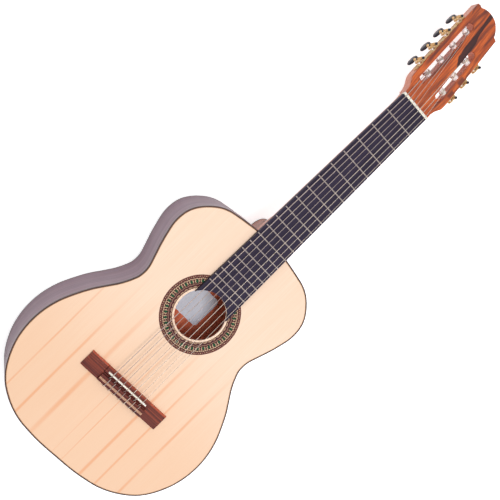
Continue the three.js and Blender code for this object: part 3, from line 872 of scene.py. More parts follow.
@dataclass(frozen=True)
class Solid:
    """A plain stuff such as bone, gold, nylon or paper, mottled and worn by its own noise."""

    name: str
    tone: Colour
    second: Colour
    scale: float = 120.0
    amount: float = 0.5
    polish: Polish = Polish()
    winding: float = 0.0
    glow: float = 0.0

    def build(self) -> bpy.types.Material:
        """Makes the material."""
        material, board, shader = new_material(self.name, self.polish)
        cloud = board.stretch(board.here(), (self.scale, self.scale * 0.4, self.scale))
        mottle = board.noise(cloud, 1.0, 4, 0.6)
        factor = board.times(board.step(mottle, 0.35, 0.68), self.amount)
        board.feed(shader.inputs["Base Color"], board.mix(factor, self.tone, self.second))
        if self.winding:
            _, y, _ = board.parts(board.here())
            wave = board.math("SINE", board.times(y, 2 * math.pi / (self.winding * MM)))
            board.feed(shader.inputs["Normal"], board.bump(wave, 0.25, self.winding / 4))
        if self.glow:
            shader.inputs["Subsurface Weight"].default_value = self.glow
            shader.inputs["Subsurface Radius"].default_value = (1.2 * MM, 1.0 * MM, 0.8 * MM)
        return material


VARNISH = Polish(roughness=0.32, coat=0.85, coat_roughness=0.06)
SATIN = Polish(roughness=0.42, coat=0.25, coat_roughness=0.2)
RAW = Polish(roughness=0.75)


class Finishes:
    """Every finish of the guitar, built once."""

    def __init__(self) -> None:
        """Builds them all."""
        self.spruce = SpruceTop(
            "spruce_top", rgb(252, 224, 200), rgb(248, 210, 180), rgb(250, 216, 188),
            spacing=1.1, wander=0.6, lines=0.45, streaks=0.5, polish=VARNISH,
        ).build()
        self.brace_spruce = Wood(
            "spruce_brace", rgb(236, 208, 168), rgb(214, 178, 134), rgb(226, 192, 150), lines=0.6, polish=RAW
        ).build()
        self.back = Wood(
            "rosewood_back", rgb(96, 52, 44), rgb(44, 24, 28), rgb(128, 72, 56),
            spacing=2.6, wander=3.0, lines=0.75, streaks=0.5, pores=0.5, mirrored=True, polish=VARNISH,
        ).build()
        # The ribs' pale lilac colours are dark rosewood with a painted reflection of the white room in the
        # varnish laid into them.
        self.rib = Wood(
            "rosewood_rib_painted_sheen", rgb(146, 114, 130), rgb(108, 78, 96), rgb(158, 122, 130),
            grain=Grain.ROUND_THE_RIB, spacing=3.0, wander=2.0, lines=0.7, streaks=0.55, pores=0.4,
            polish=Polish(roughness=0.4, coat=0.3, coat_roughness=0.15, ior=1.4),
        ).build()
        self.inside = Wood(
            "rosewood_inside", rgb(250, 142, 106), rgb(204, 96, 70), rgb(228, 116, 84),
            spacing=2.6, wander=3.0, lines=0.7, streaks=0.5, pores=0.4, mirrored=True, polish=RAW,
        ).build()
        self.binding = Wood(
            "binding_rosewood", rgb(70, 38, 34), rgb(36, 20, 22), rgb(84, 46, 38), grain=Grain.ROUND_THE_RIB,
            spacing=1.4, lines=0.6, polish=VARNISH,
        ).build()
        self.purfling = Wood(
            "purfling_maple", rgb(206, 160, 112), rgb(150, 100, 70), rgb(120, 74, 54),
            spacing=0.8, polish=VARNISH,
        ).build()
        self.bridge = BridgeWoodWithPaintedLight(
            "bridge_rosewood", rgb(150, 68, 46), rgb(76, 30, 28), rgb(106, 46, 38), grain=Grain.ALONG_X,
            spacing=1.8, wander=0.8, lines=0.9, streaks=0.55, pores=0.3,
            polish=Polish(roughness=0.45, coat=0.15, coat_roughness=0.2),
        ).build()
        self.ebony = Wood(
            "ebony", rgb(54, 47, 66), rgb(36, 31, 46), rgb(62, 54, 76),
            spacing=1.0, lines=0.7, streaks=0.4, pores=0.5, polish=Polish(roughness=0.45, ior=1.35),
        ).build()
        self.cedar = Wood(
            "neck_cedar", rgb(224, 146, 114), rgb(192, 110, 80), rgb(208, 126, 94),
            spacing=2.0, wander=1.5, lines=0.5, streaks=0.5, pores=0.45, polish=VARNISH,
        ).build()
        self.head_core = HeadCore(
            "head_cedar", rgb(232, 150, 122), rgb(198, 112, 88), rgb(214, 128, 102),
            spacing=2.0, wander=1.5, lines=0.5, streaks=0.5, pores=0.45,
            polish=Polish(roughness=0.4, coat=0.4),
        ).build()
        self.lining = Wood(
            "lining_cedar", rgb(206, 150, 104), rgb(170, 112, 74), rgb(190, 132, 90),
            grain=Grain.ROUND_THE_RIB, lines=0.6, polish=RAW,
        ).build()
        self.head_face = HeadFigure(
            "head_veneer", rgb(226, 112, 48), rgb(136, 56, 36), rgb(188, 82, 40),
            spacing=3.0, wander=4.0, lines=0.75, streaks=0.6, pores=0.3,
            polish=Polish(roughness=0.38, coat=0.35),
        ).build()
        self.mosaic = Mosaic("rosette_mosaic", SoundBox.rosette_inner, SoundBox.rosette_outer).build()
        self.bone = Solid(
            "bone", rgb(250, 246, 234), rgb(240, 230, 208), 260, 0.5,
            Polish(roughness=0.28, coat=0.3), glow=0.15,
        ).build()
        self.inlay = Solid("bone_inlay", rgb(196, 152, 124), rgb(164, 116, 92), 400, 0.7, SATIN).build()
        self.gold = Solid(
            "gold_plate", rgb(255, 224, 172), rgb(226, 172, 112), 300, 0.8,
            Polish(roughness=0.28, metallic=0.8, smudge=0.25),
        ).build()
        self.nickel = Solid(
            "fret_nickel", rgb(226, 212, 206), rgb(196, 182, 178), 500, 0.5,
            Polish(roughness=0.35, metallic=0.9),
        ).build()
        self.pearl = Solid(
            "roller_pearl", rgb(252, 244, 242), rgb(238, 216, 212), 160, 0.7,
            Polish(roughness=0.22, coat=0.6), glow=0.2,
        ).build()
        self.black = Solid(
            "button_black", rgb(30, 26, 40), rgb(46, 42, 58), 180, 0.6, Polish(roughness=0.25, coat=0.35)
        ).build()
        self.nylon = Solid(
            "nylon", rgb(222, 206, 192), rgb(206, 190, 176), 60, 0.4,
            Polish(roughness=0.35, coat=0.2), glow=0.2,
        ).build()
        self.wound = Solid(
            "wound_string", rgb(214, 196, 188), rgb(182, 162, 156), 200, 0.5,
            Polish(roughness=0.38, metallic=0.45), winding=0.3,
        ).build()
        self.paper = Solid("label_paper", rgb(242, 244, 255), rgb(234, 238, 255), 40, 0.5, RAW).build()

    def of_string(self, route: StringRoute) -> tuple[bpy.types.Material, str]:
        """Gives a string's finish and its material slot."""
        return (self.nylon, "nylon") if route.plain else (self.wound, "wound_string")


# ---------------------------------------------------------------- body


class BodyOutline:
    """The plan of the sound box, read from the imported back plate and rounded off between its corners."""

    fineness: int = 5

    def __init__(self) -> None:
        """Reads the plate's corners in order, clockwise from the neck joint."""
        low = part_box("back_plate")[0].z
        verts = frame["nodes"]["back_plate"].data.vertices
        corners = {(round(v.co.x, 6), round(v.co.y, 6)) for v in verts if v.co.z < low + 0.01 * MM}
        hub_y = -60 * MM
        ordered = sorted(corners, key=lambda p: (math.atan2(p[0], p[1] - hub_y) + 1e-4) % (2 * math.pi))
        self.plate_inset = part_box("treble_rib")[1].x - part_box("back_plate")[1].x
        self.points = self.rounded([Vector(corner) for corner in ordered])

    def rounded(self, corners: list[Vector]) -> list[Vector]:
        """Puts a smooth closed curve through the corners."""
        count = len(corners)
        result = []
        for i in range(count):
            before, start, end, after = (corners[(i + step) % count] for step in (-1, 0, 1, 2))
            for k in range(self.fineness):
                t = k / self.fineness
                result.append(0.5 * (
                    2 * start + (end - before) * t + (2 * before - 5 * start + 4 * end - after) * t * t
                    + (3 * start - before - 3 * end + after) * t**3
                ))
        return result

    def at(self, inset: float) -> list[tuple[float, float]]:
        """Gives the outline moved inwards from the ribs' outer face by inset millimetres."""
        shift = inset * MM - self.plate_inset
        count = len(self.points)
        moved = []
        for i, point in enumerate(self.points):
            along = (self.points[(i + 1) % count] - self.points[i - 1]).normalized()
            moved.append((point.x + shift * along.y, point.y - shift * along.x))
        return moved

    def rim(self, name: str, section: Loop, half: int | None = None) -> bpy.types.Mesh:
        """Runs a section round the outline, or round one half of it.

        Args:
            name: The mesh's name.
            section: Points of (inset in millimetres, height in metres) in order.
            half: 0 for the treble half, 1 for the bass half, or None for all of it.

        Returns:
            The closed mesh.
        """
        loops = [self.at(inset) for inset, _ in section]
        count = len(self.points)
        indices = range(count) if half is None else range(half * count // 2, (half + 1) * count // 2 + 1)
        rings = []
        for i in indices:
            ring = [Vector((*loop[i % count], height)) for loop, (_, height) in zip(loops, section)]
            rings.append(ring)
        return loft_mesh(name, rings, cyclic=half is None)


@dataclass
class SoundBox:
    """The hollow body: soundboard, rosette, back, ribs, bindings, linings and braces."""

    outline: BodyOutline
    finishes: Finishes
    binding: float = 2.2
    purfling: float = 0.9
    rib: float = 2.0
    lining: float = 6.0
    hole: float = 43.0
    rosette_inner: float = 46.5
    rosette_outer: float = 68.1

    def build(self) -> None:
        """Builds every piece of the body."""
        self.soundboard()
        self.rosette()
        self.back()
        self.ribs()
        self.bindings()
        self.linings()
        self.braces()
        self.label()

    def soundboard(self) -> None:
        """Lays the top as rings of faces from its edge to the lip of the hole, with a bed for the rosette."""
        low, high = levels("soundboard")
        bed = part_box("rosette")[0].z
        edge = [Vector((*point, 0)) for point in self.outline.at(self.binding + self.purfling)]
        lip = 0.5
        steps = [
            (None, low), (None, high),
            (self.rosette_outer, high), (self.rosette_outer, bed),
            (self.rosette_inner, bed), (self.rosette_inner, high),
            (self.hole + lip, high), (self.hole + 0.15 * lip, high - 0.3 * lip * MM),
            (self.hole, high - lip * MM), (self.hole, low),
        ]
        rings = []
        for radius, height in steps:
            ring = []
            for point in edge:
                flat = point if radius is None else point.normalized() * radius * MM
                ring.append(Vector((flat.x, flat.y, height)))
            rings.append(ring)
        mesh = loft_mesh("soundboard", rings, cyclic=True, angle=50)
        add_piece("soundboard_top", mesh, self.finishes.spruce, "spruce", replaces=["soundboard"])

    def rosette(self) -> None:
        """Lays the mosaic ring into its bed."""
        low, high = levels("rosette")
        inner, outer = self.rosette_inner, self.rosette_outer
        section = [(inner, low), (outer, low), (outer, high), (inner, high)]
        segments = 180
        rings = []
        for i in range(segments):
            turn = 2 * math.pi * i / segments
            aim = Vector((math.cos(turn), math.sin(turn), 0)) * MM
            rings.append([aim * radius + Vector((0, 0, height)) for radius, height in section])
        mesh = loft_mesh("rosette", rings, cyclic=True)
        add_piece("rosette_ring", mesh, self.finishes.mosaic, "mosaic", replaces=["rosette"])

    def back(self) -> None:
        """Lays the back as an outer plate with an unvarnished face inside."""
        low, high = levels("back_plate")
        loop = self.outline.at(self.binding)
        skin = 0.3 * MM
        outer = prism_mesh("back", [loop], low, high - skin)
        inner = prism_mesh("back_inside", [self.outline.at(self.binding + 0.1)], high - skin, high)
        add_piece("back_outer", outer, self.finishes.back, "rosewood", replaces=["back_plate"])
        add_piece("back_inner_face", inner, self.finishes.inside, "rosewood")

    def ribs(self) -> None:
        """Bends the two sides, which meet at the tail and under the neck."""
        low, high = levels("treble_rib")
        gap = GAP * MM
        section = [(0.0, low - gap), (0.0, high + gap), (self.rib, high + gap), (self.rib, low - gap)]
        for half, side in enumerate((Side.TREBLE, Side.BASS)):
            node = f"{side.value}_rib"
            mesh = self.outline.rim(node, section, half)
            add_piece(f"{side.value}_side", mesh, self.finishes.rib, "rosewood", replaces=[node])

    def bindings(self) -> None:
        """Runs the rounded edge strips round the top and the back, and the line inside the top one."""
        wide, round_off = self.binding, 0.7
        for node, out in (("top_binding", 1), ("back_binding", -1)):
            low, high = levels(node)
            face, inside = (high, low) if out > 0 else (low, high)
            turn = [(0.0, inside), (0.0, face - out * round_off * MM)]
            turn += [(round_off * 0.3, face - out * round_off * 0.3 * MM), (round_off, face)]
            turn += [(wide, face), (wide, inside)]
            mesh = self.outline.rim(node, turn)
            add_piece(f"{node}_strip", mesh, self.finishes.binding, "rosewood", replaces=[node])
        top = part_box("top_binding")[1].z
        low, reach = top - 1.5 * MM, wide + self.purfling
        line = [(wide, low), (wide, top), (reach, top), (reach, low)]
        add_piece("top_purfling", self.outline.rim("purfling", line), self.finishes.purfling, "spruce")

    def linings(self) -> None:
        """Glues the strips inside the edges that carry the two plates."""
        inner = self.rib + self.lining
        for node in ("top_lining", "back_lining"):
            low, high = levels(node)
            away, near = (low, high) if node == "top_lining" else (high, low)
            section = [
                (self.rib, near), (inner, near), (inner, near + 0.4 * (away - near)),
                (self.rib + 2, away), (self.rib, away),
            ]
            mesh = self.outline.rim(node, section)
            add_piece(f"{node}_strip", mesh, self.finishes.lining, "lining_cedar", replaces=[node])

    def braces(self) -> None:
        """Rounds the bars, the fan, the back's braces and the two end blocks."""
        stock = (
            ("upper_harmonic_bar", self.finishes.brace_spruce, "spruce", 2.0),
            ("lower_harmonic_bar", self.finishes.brace_spruce, "spruce", 2.0),
            ("fan_bracing", self.finishes.brace_spruce, "spruce", 0.8),
            ("back_bracing", self.finishes.inside, "lining_cedar", 1.2),
            ("neck_block", self.finishes.cedar, "cedar", 1.0),
            ("tail_block", self.finishes.cedar, "cedar", 1.0),
        )
        for node, material, slot, width in stock:
            piece = add_piece(f"{node}_wood", copy_of_node(node), material, slot, replaces=[node])
            round_edges(piece, width)

    def label(self) -> None:
        """Lays the plain paper label, with its round corners, inside the back."""
        low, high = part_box("label")
        radius, steps = 7 * MM, 8
        loop = []
        corners = (
            (high.x, high.y, 1, 1), (low.x, high.y, -1, 1), (low.x, low.y, -1, -1), (high.x, low.y, 1, -1),
        )
        for quarter, (x, y, right, up) in enumerate(corners):
            for i in range(steps + 1):
                turn = math.pi / 2 * (quarter + i / steps)
                loop.append((x + radius * (math.cos(turn) - right), y + radius * (math.sin(turn) - up)))
        mesh = prism_mesh("label", [loop], low.z, high.z)
        add_piece("label_sheet", mesh, self.finishes.paper, "paper", replaces=["label"])


# ---------------------------------------------------------------- neck and head


@dataclass
class Neck:
    """The neck's shaft and heel, the fretboard with its frets, and the nut."""

    finishes: Finishes
    outline: BodyOutline
    scale: float = 650.0
    frets: int = 19
    shaft_stations: tuple[tuple[float, float], ...] = (
        (158, 17.0), (230, 16.8), (300, 16.3), (380, 15.6), (440, 15.0), (478, 14.6), (496, 15.2),
    )
    heel_levels: tuple[tuple[float, float, float], ...] = (
        (0, 18.5, 25), (8, 19.5, 25.5), (25, 21.5, 27.5), (42, 24.5, 31.5), (57, 27.5, 38),
        (69, 30, 48), (78, 31.5, 62), (84, 32.5, 80), (90, 32, 95),
    )
    voxel: float = 1.2
    fret_width: float = 2.2
    fret_height: float = 1.0
    nut_width: float = 58.6
    twelfth_width: float = 68.9
    board_end: float = 21.3

    def __post_init__(self) -> None:
        """Reads the heights, the nut's place and its width from the frame."""
        board_low, board_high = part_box("fretboard")
        self.nut_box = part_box("nut")
        self.nut_y = board_high.y / MM
        self.board_low = board_low.z / MM
        self.board_top = board_high.z / MM - self.fret_height
        self.nut_half = self.nut_box[1].x / MM
        self.joint_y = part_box("treble_rib")[1].y / MM

    def build(self) -> None:
        """Builds every piece of the neck."""
        self.shaft()
        self.heel_cap()
        self.fretboard()
        self.fret_wires()
        self.nut()

    def half_width(self, y: float) -> float:
        """Gives half the neck's width at y, both in millimetres."""
        slope = (self.twelfth_width - self.nut_width) / self.scale
        return self.nut_half + slope * (self.nut_y - y)

    def shaft_ring(self, y: float) -> list[Vector]:
        """Rounds the underside of the neck at y; towards the head it squares up to meet it."""
        depth = interpolate(self.shaft_stations, y)[0]
        square = smoothstep(self.nut_y - 22, self.nut_y + 8, y)
        wide = 0.8 - 0.62 * square
        deep = 0.85 - 0.65 * square
        half = self.half_width(y) - 0.1
        top = self.board_low - GAP
        points = [Vector((half, y, top + 6)) * MM]
        count = 40
        for i in range(count + 1):
            turn = math.pi * i / count
            across = math.copysign(abs(math.cos(turn)) ** wide, math.cos(turn))
            points.append(Vector((half * across, y, top - depth * max(math.sin(turn), 0.0) ** deep)) * MM)
        points.append(Vector((-half, y, top + 6)) * MM)
        return points

    def heel_ring(self, z: float) -> list[Vector]:
        """Cuts the heel level at z."""
        half, reach = interpolate(self.heel_levels, z)
        root = self.joint_y - 8
        count = 48
        ring = []
        for i in range(count + 1):
            turn = math.pi * i / count
            across = math.copysign(abs(math.cos(turn)) ** 0.75, math.cos(turn))
            ring.append(Vector((half * across, root + (reach + 8) * max(math.sin(turn), 0.0), z)) * MM)
        return ring

    def shaft(self) -> None:
        """Melts shaft and heel into one smooth piece and trims it to the body and the fretboard."""
        shaft = loft_mesh("shaft", [self.shaft_ring(y) for y in range(158, 497, 3)])
        heel = loft_mesh("heel", [self.heel_ring(z) for z in range(-4, 91, 2)])
        piece = add_piece("neck_wood", joined_mesh("neck", [shaft, heel]), self.finishes.cedar, "cedar")
        melt = piece.modifiers.new("melt", "REMESH")
        melt.mode = "VOXEL"
        melt.voxel_size = self.voxel * MM
        ease = piece.modifiers.new("ease", "SMOOTH")
        ease.factor = 0.6
        ease.iterations = 12
        settle(piece)
        top = (self.board_low - GAP) * MM
        above = box_mesh("above", Vector((-0.06, 0.1, top)), Vector((0.06, 0.6, top + 0.03)))
        below = box_mesh("below", Vector((-0.06, 0.1, -0.03)), Vector((0.06, 0.3, 0)))
        body = prism_mesh("body", [self.outline.at(-0.05)], -0.02, 0.12)
        mesh = piece.data
        for cutter in (above, below, body):
            mesh = cut_mesh(mesh, cutter)
        if not mesh.materials:
            mesh.materials.append(self.finishes.cedar)
        piece.data = mesh
        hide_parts("neck")

    def heel_cap(self) -> None:
        """Covers the foot of the heel with a thin dark cap."""
        rings = []
        for z in (0.0, 2.6):
            ring = self.heel_ring(z)
            grown = [Vector((point.x * 1.02, point.y + 0.3 * MM, point.z)) for point in ring]
            rings.append([point for point in grown if point.y > (self.joint_y - 1) * MM])
        count = min(len(ring) for ring in rings)
        mesh = loft_mesh("heel_cap", [ring[:count] for ring in rings])
        piece = add_piece("heel_cap", mesh, self.finishes.binding, "rosewood")
        round_edges(piece, 0.5)

    def fretboard(self) -> None:
        """Cuts the ebony board, with its far end hollowed round the sound hole."""
        low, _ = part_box("fretboard")
        end = self.board_end
        loop = [(self.half_width(self.nut_y), self.nut_y), (self.half_width(end), end)]
        radius = SoundBox.hole + 0.5
        reach = math.acos(min(end / radius, 1.0))
        start = math.pi / 2 - min(reach, math.asin(min(self.half_width(end) / radius, 1.0)))
        count = 48
        for i in range(count + 1):
            turn = start + (math.pi - 2 * start) * i / count
            loop.append((radius * math.cos(turn), radius * math.sin(turn)))
        loop += [(-x, y) for x, y in reversed(loop[:2])]
        mesh = prism_mesh("fretboard", [[(x * MM, y * MM) for x, y in loop]], low.z, self.board_top * MM)
        piece = add_piece("fretboard_ebony", mesh, self.finishes.ebony, "ebony", replaces=["fretboard"])
        round_edges(piece, 0.5)

    def fret_wires(self) -> None:
        """Seats the frets: a domed crown with rounded ends, at the places of the scale."""
        for number in range(1, self.frets + 1):
            y = self.nut_y - self.scale * (1 - 2 ** (-number / 12))
            half = self.half_width(y) - 0.3
            stations = [
                (-half, 0.35), (-half + 0.5, 0.85), (-half + 1.2, 1.0),
                (half - 1.2, 1.0), (half - 0.5, 0.85), (half, 0.35),
            ]
            rings = []
            for x, size in stations:
                ring = []
                for i in range(9):
                    turn = math.pi * i / 8
                    height = self.board_top + self.fret_height * size * math.sin(turn)
                    ring.append(Vector((x, y + self.fret_width / 2 * math.cos(turn), height)) * MM)
                sunk = self.board_top - 0.4
                ring += [Vector((x, y - 0.9, sunk)) * MM, Vector((x, y + 0.9, sunk)) * MM]
                rings.append(ring)
            name = f"fret_{number}"
            add_piece(name, loft_mesh(name, rings), self.finishes.nickel, "wound_string")

    def nut(self) -> None:
        """Shapes the bone nut and files a groove for each string."""
        low, high = self.nut_box
        top = high.z + 0.75 * MM
        back, front = high.y, low.y
        section = [
            (front, low.z), (back, low.z), (back, top - 2.2 * MM),
            (back - 1.2 * MM, top - 1.0 * MM), (front + 1.1 * MM, top), (front, top),
        ]
        rings = [[Vector((x, y, z)) for y, z in section] for x in (low.x, high.x)]
        mesh = loft_mesh("nut", rings)
        grooves = []
        for route in STRING_ROUTES:
            grooves.append(loft_mesh("groove", swept_rings(route.over_nut(), route.radius * 1.12, 12)))
        mesh = cut_mesh(mesh, joined_mesh("grooves", grooves))
        piece = add_piece("nut_bone", mesh, self.finishes.bone, "bone", replaces=["nut"])
        round_edges(piece, 0.2)


@dataclass
class Head:
    """The slotted head: its core, its figured face and the frame of each side."""

    finishes: Finishes
    thickness: float = 20.0
    veneer: float = 2.5
    widest: float = 39.0
    widest_s: float = 40.0
    throat: float = 29.3
    slot_width: float = 13.5
    slot_wall: float = 11.2
    slot_start: float = 41.0
    ramp_foot: float = 29.5
    slot_ends: tuple[float, float] = (178.0, 146.0)
    taper: float = 1.8
    ramp_slope: float = 30.0
    roller_depth: float = 8.0
    bore_radius: float = 5.25

    @staticmethod
    def frame_matrix() -> Matrix:
        """Gives the head's own frame: x across, y up the head, z out of its face."""
        shaft = next(j for j in frame["joints"] if j["name"] == "button_1_turn")
        out = Vector(shaft["axis"]).normalized()
        up = out.cross(Vector((1, 0, 0)))
        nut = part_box("nut")
        origin = Vector((0, nut[0].y + 2.7 * MM, 106 * MM))
        rows = [(across, up[i], out[i], origin[i]) for i, across in enumerate((1, 0, 0))]
        return Matrix((*rows, (0, 0, 0, 1)))

    @classmethod
    def station_y(cls, s: float) -> float:
        """Gives the y of a place s millimetres up the head."""
        return (cls.frame_matrix() @ Vector((0, s * MM, 0))).y

    def half_width(self, s: float) -> float:
        """Gives half the head's width s up it."""
        return self.widest - (s - self.widest_s) * math.tan(math.radians(self.taper))

    def edge(self, start: float) -> list[tuple[float, float]]:
        """Draws the head's outline, from the throat up the treble side and down the bass side."""
        shoulder = [(self.throat, 9), (31.2, 17), (34.8, 24.5), (38, 31), (self.widest, self.widest_s)]
        crown = [
            (28, 193), (24.5, 200), (19, 207), (9, 214.3),
            (-6, 216.5), (-18, 213.3), (-24, 210), (-28.5, 211),
        ]

        def eased(points: list[tuple[float, float]]) -> list[tuple[float, float]]:
            """Rounds a run of points off."""
            return [(v.x, v.y) for v in smooth_path([Vector((*p, 0)) for p in points], 6)]

        treble = [(self.throat, start), *eased(shoulder), (self.half_width(191.6), 191.6)]
        down = [(-x, s) for x, s in reversed(eased(shoulder))]
        bass = [(-self.half_width(210), 210), *down, (-self.throat, start)]
        return [*treble, *eased(crown), *bass]

    def side_matrix(self, side: Side) -> Matrix:
        """Gives the frame of one side in the head's frame: x outwards, origin on the first roller's axis."""
        sign = side.sign
        taper = math.radians(self.taper)
        turn = taper if sign > 0 else math.pi - taper
        edge = sign * self.half_width(FIRST_ROLLER)
        place = Matrix.Translation((edge, FIRST_ROLLER, -self.roller_depth))
        return place @ Matrix.Rotation(turn, 4, "Z")

    def slot_loop(self, side: Side) -> list[tuple[float, float]]:
        """Draws one string slot, with round ends, in the head's plane."""
        sign = side.sign
        radius = self.slot_width / 2
        end = self.slot_ends[0 if side is Side.BASS else 1]
        ends = sorted(sign * (s - FIRST_ROLLER) for s in (self.slot_start, end))
        middle = -self.slot_wall - radius
        points = []
        for centre, first in ((ends[1] - radius, 0.0), (ends[0] + radius, math.pi)):
            for i in range(17):
                turn = first + math.pi * i / 16
                points.append(Vector((middle + radius * math.cos(turn), centre + radius * math.sin(turn), 0)))
        matrix = self.side_matrix(side)
        return [tuple((matrix @ point).xy) for point in points]

    def carvings(self) -> bpy.types.Mesh:
        """Makes what is carved from the head: a ramp into each slot and a bore for each roller."""
        cutters = []
        for side, count in ((Side.BASS, 4), (Side.TREBLE, 3)):
            sign = side.sign
            matrix = self.side_matrix(side)
            middle = -self.slot_wall - self.slot_width / 2
            radius = self.slot_width / 2 - 0.05
            cosine, sine = math.cos(math.radians(self.ramp_slope)), math.sin(math.radians(self.ramp_slope))
            slope = Vector((0, sign * cosine, -sine))
            foot = Vector((middle, sign * (self.ramp_foot - FIRST_ROLLER), self.roller_depth))
            lift = Vector((0, sign * sine, cosine)) * radius
            rods = [("ramp", radius, [foot + lift - slope * 12, foot + lift + slope * 24])]
            for i in range(count):
                y = sign * ROLLER_PITCH * i
                rods.append(("bore", self.bore_radius, [Vector((-29.9, y, 0)), Vector((4, y, 0))]))
            for name, size, line in rods:
                rings = [[matrix @ point for point in ring] for ring in swept_rings(line, size, 28)]
                cutters.append(loft_mesh(name, rings))
        return joined_mesh("carvings", cutters)

    def board(self, name: str, low: float, high: float) -> bpy.types.Mesh:
        """Cuts one layer of the head between two depths under its face."""
        start = 2.4
        loops = [self.edge(start), self.slot_loop(Side.BASS), self.slot_loop(Side.TREBLE)]
        mesh = cut_mesh(prism_mesh(name, loops, low, high), self.carvings())
        mesh.transform(self.frame_matrix() @ Matrix.Scale(MM, 4))
        return mesh

    def build(self) -> None:
        """Builds the core and the face."""
        core = self.board("head_core", -self.thickness, -self.veneer)
        piece = add_piece("head_core", core, self.finishes.head_core, "cedar")
        round_edges(piece, 0.5)
        face = self.board("head_face", -self.veneer, 0.0)
        piece = add_piece("head_face", face, self.finishes.head_face, "veneer", replaces=["head_veneer"])
        round_edges(piece, 0.35)


# ---------------------------------------------------------------- strings


@dataclass(frozen=True)
class StringRoute:
    """One string: its gauge, its place and the roller that it winds on. Lengths are in millimetres."""

    number: int
    diameter: float
    side: Side
    roller: int
    land: float
    edge: tuple[float, float] | None = None

    @property
    def radius(self) -> float:
        """Half the gauge, in metres."""
        return self.diameter / 2 * MM

    @property
    def plain(self) -> bool:
        """Tells whether it is plain nylon; the others are wound."""
        return self.number <= 3

    @property
    def place(self) -> int:
        """Counts strings from the middle one, towards the treble side."""
        return 4 - self.number

    def bridge_x(self) -> float:
        """Gives its x at the bridge."""
        return BRIDGE_SPACING * self.place * MM

    def nut_point(self) -> Vector:
        """Gives the point where it bears on the nut."""
        low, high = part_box("nut")
        return Vector((NUT_SPACING * self.place * MM, low.y + 1 * MM, high.z + GAP * MM + self.radius))

    def saddle_point(self) -> Vector:
        """Gives the point where it bears on the saddle."""
        low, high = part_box("saddle")
        return Vector((self.bridge_x(), (low.y + high.y) / 2, high.z + GAP * MM + self.radius))

    def head_points(self) -> list[Vector]:
        """Gives its way over the head to its roller."""
        sign = self.side.sign
        s = FIRST_ROLLER + ROLLER_PITCH * self.roller
        points = [(self.land, s - 1.5, -3 + GAP + self.diameter / 2)]
        if self.edge:
            points.insert(0, (self.edge[0], self.edge[1], 0.5 + self.diameter / 2))
        matrix = Head.frame_matrix()
        return [matrix @ (Vector((sign * x, along, up)) * MM) for x, along, up in points]

    def over_nut(self) -> tuple[Vector, Vector]:
        """Gives a short run over the nut, for its groove."""
        bearing = self.nut_point()
        ahead = (self.head_points()[0] - bearing).normalized() * 9 * MM
        return bearing - Vector((0, 3 * MM, 0)), bearing + ahead

    def tie_points(self) -> list[Vector]:
        """Gives the loop round the tie block, from its tucked end to the hole."""
        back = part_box("bridge")[0].y / MM
        x = self.bridge_x() / MM
        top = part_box("tie_block_inlay")[1].z / MM + GAP + self.diameter / 2
        hole = STRING_HOLE_Z
        shape = [
            (2.2, 14.8, top - 1), (2.0, 12.2, top), (1.6, 2.0, top), (1.1, -1.0, top - 1.2),
            (0.5, -1.4, hole + 1.4), (0.1, -0.4, hole), (0.0, 2.0, hole), (0.0, 13.6, hole),
        ]
        return [Vector((x + aside, back + y, z)) * MM for aside, y, z in shape]


STRING_ROUTES = (
    StringRoute(1, 0.72, Side.TREBLE, 0, 23.0, (23.8, 28.5)),
    StringRoute(2, 0.82, Side.TREBLE, 1, 20.0),
    StringRoute(3, 1.03, Side.TREBLE, 2, 16.0, (11.9, 105.0)),
    StringRoute(4, 0.75, Side.BASS, 3, 13.5, (10.7, 140.0)),
    StringRoute(5, 0.91, Side.BASS, 2, 16.0, (11.9, 105.0)),
    StringRoute(6, 1.1, Side.BASS, 1, 20.0),
    StringRoute(7, 1.35, Side.BASS, 0, 23.0, (23.8, 28.5)),
)


@dataclass
class Strings:
    """The seven strings, each one tied at the bridge and led to its roller."""

    finishes: Finishes
    sides: int = 12

    def build(self) -> None:
        """Draws every string."""
        for route in STRING_ROUTES:
            saddle, nut = route.saddle_point(), route.nut_point()
            tie = smooth_path(route.tie_points(), 5)
            rise = saddle - Vector((0, 1.9 * MM, 0.7 * MM))
            near = [saddle.lerp(nut, part) for part in (0.003, 0.02, 0.35, 0.7, 0.98, 0.997)]
            over = route.head_points()
            path = [*tie, rise, saddle, *near, nut, nut.lerp(over[0], 0.03), nut.lerp(over[0], 0.5), *over]
            node = f"string_{route.number}"
            mesh = loft_mesh(node, swept_rings(path, route.radius, self.sides))
            add_piece(f"{node}_line", mesh, *self.finishes.of_string(route), replaces=[node])


# ---------------------------------------------------------------- bridge


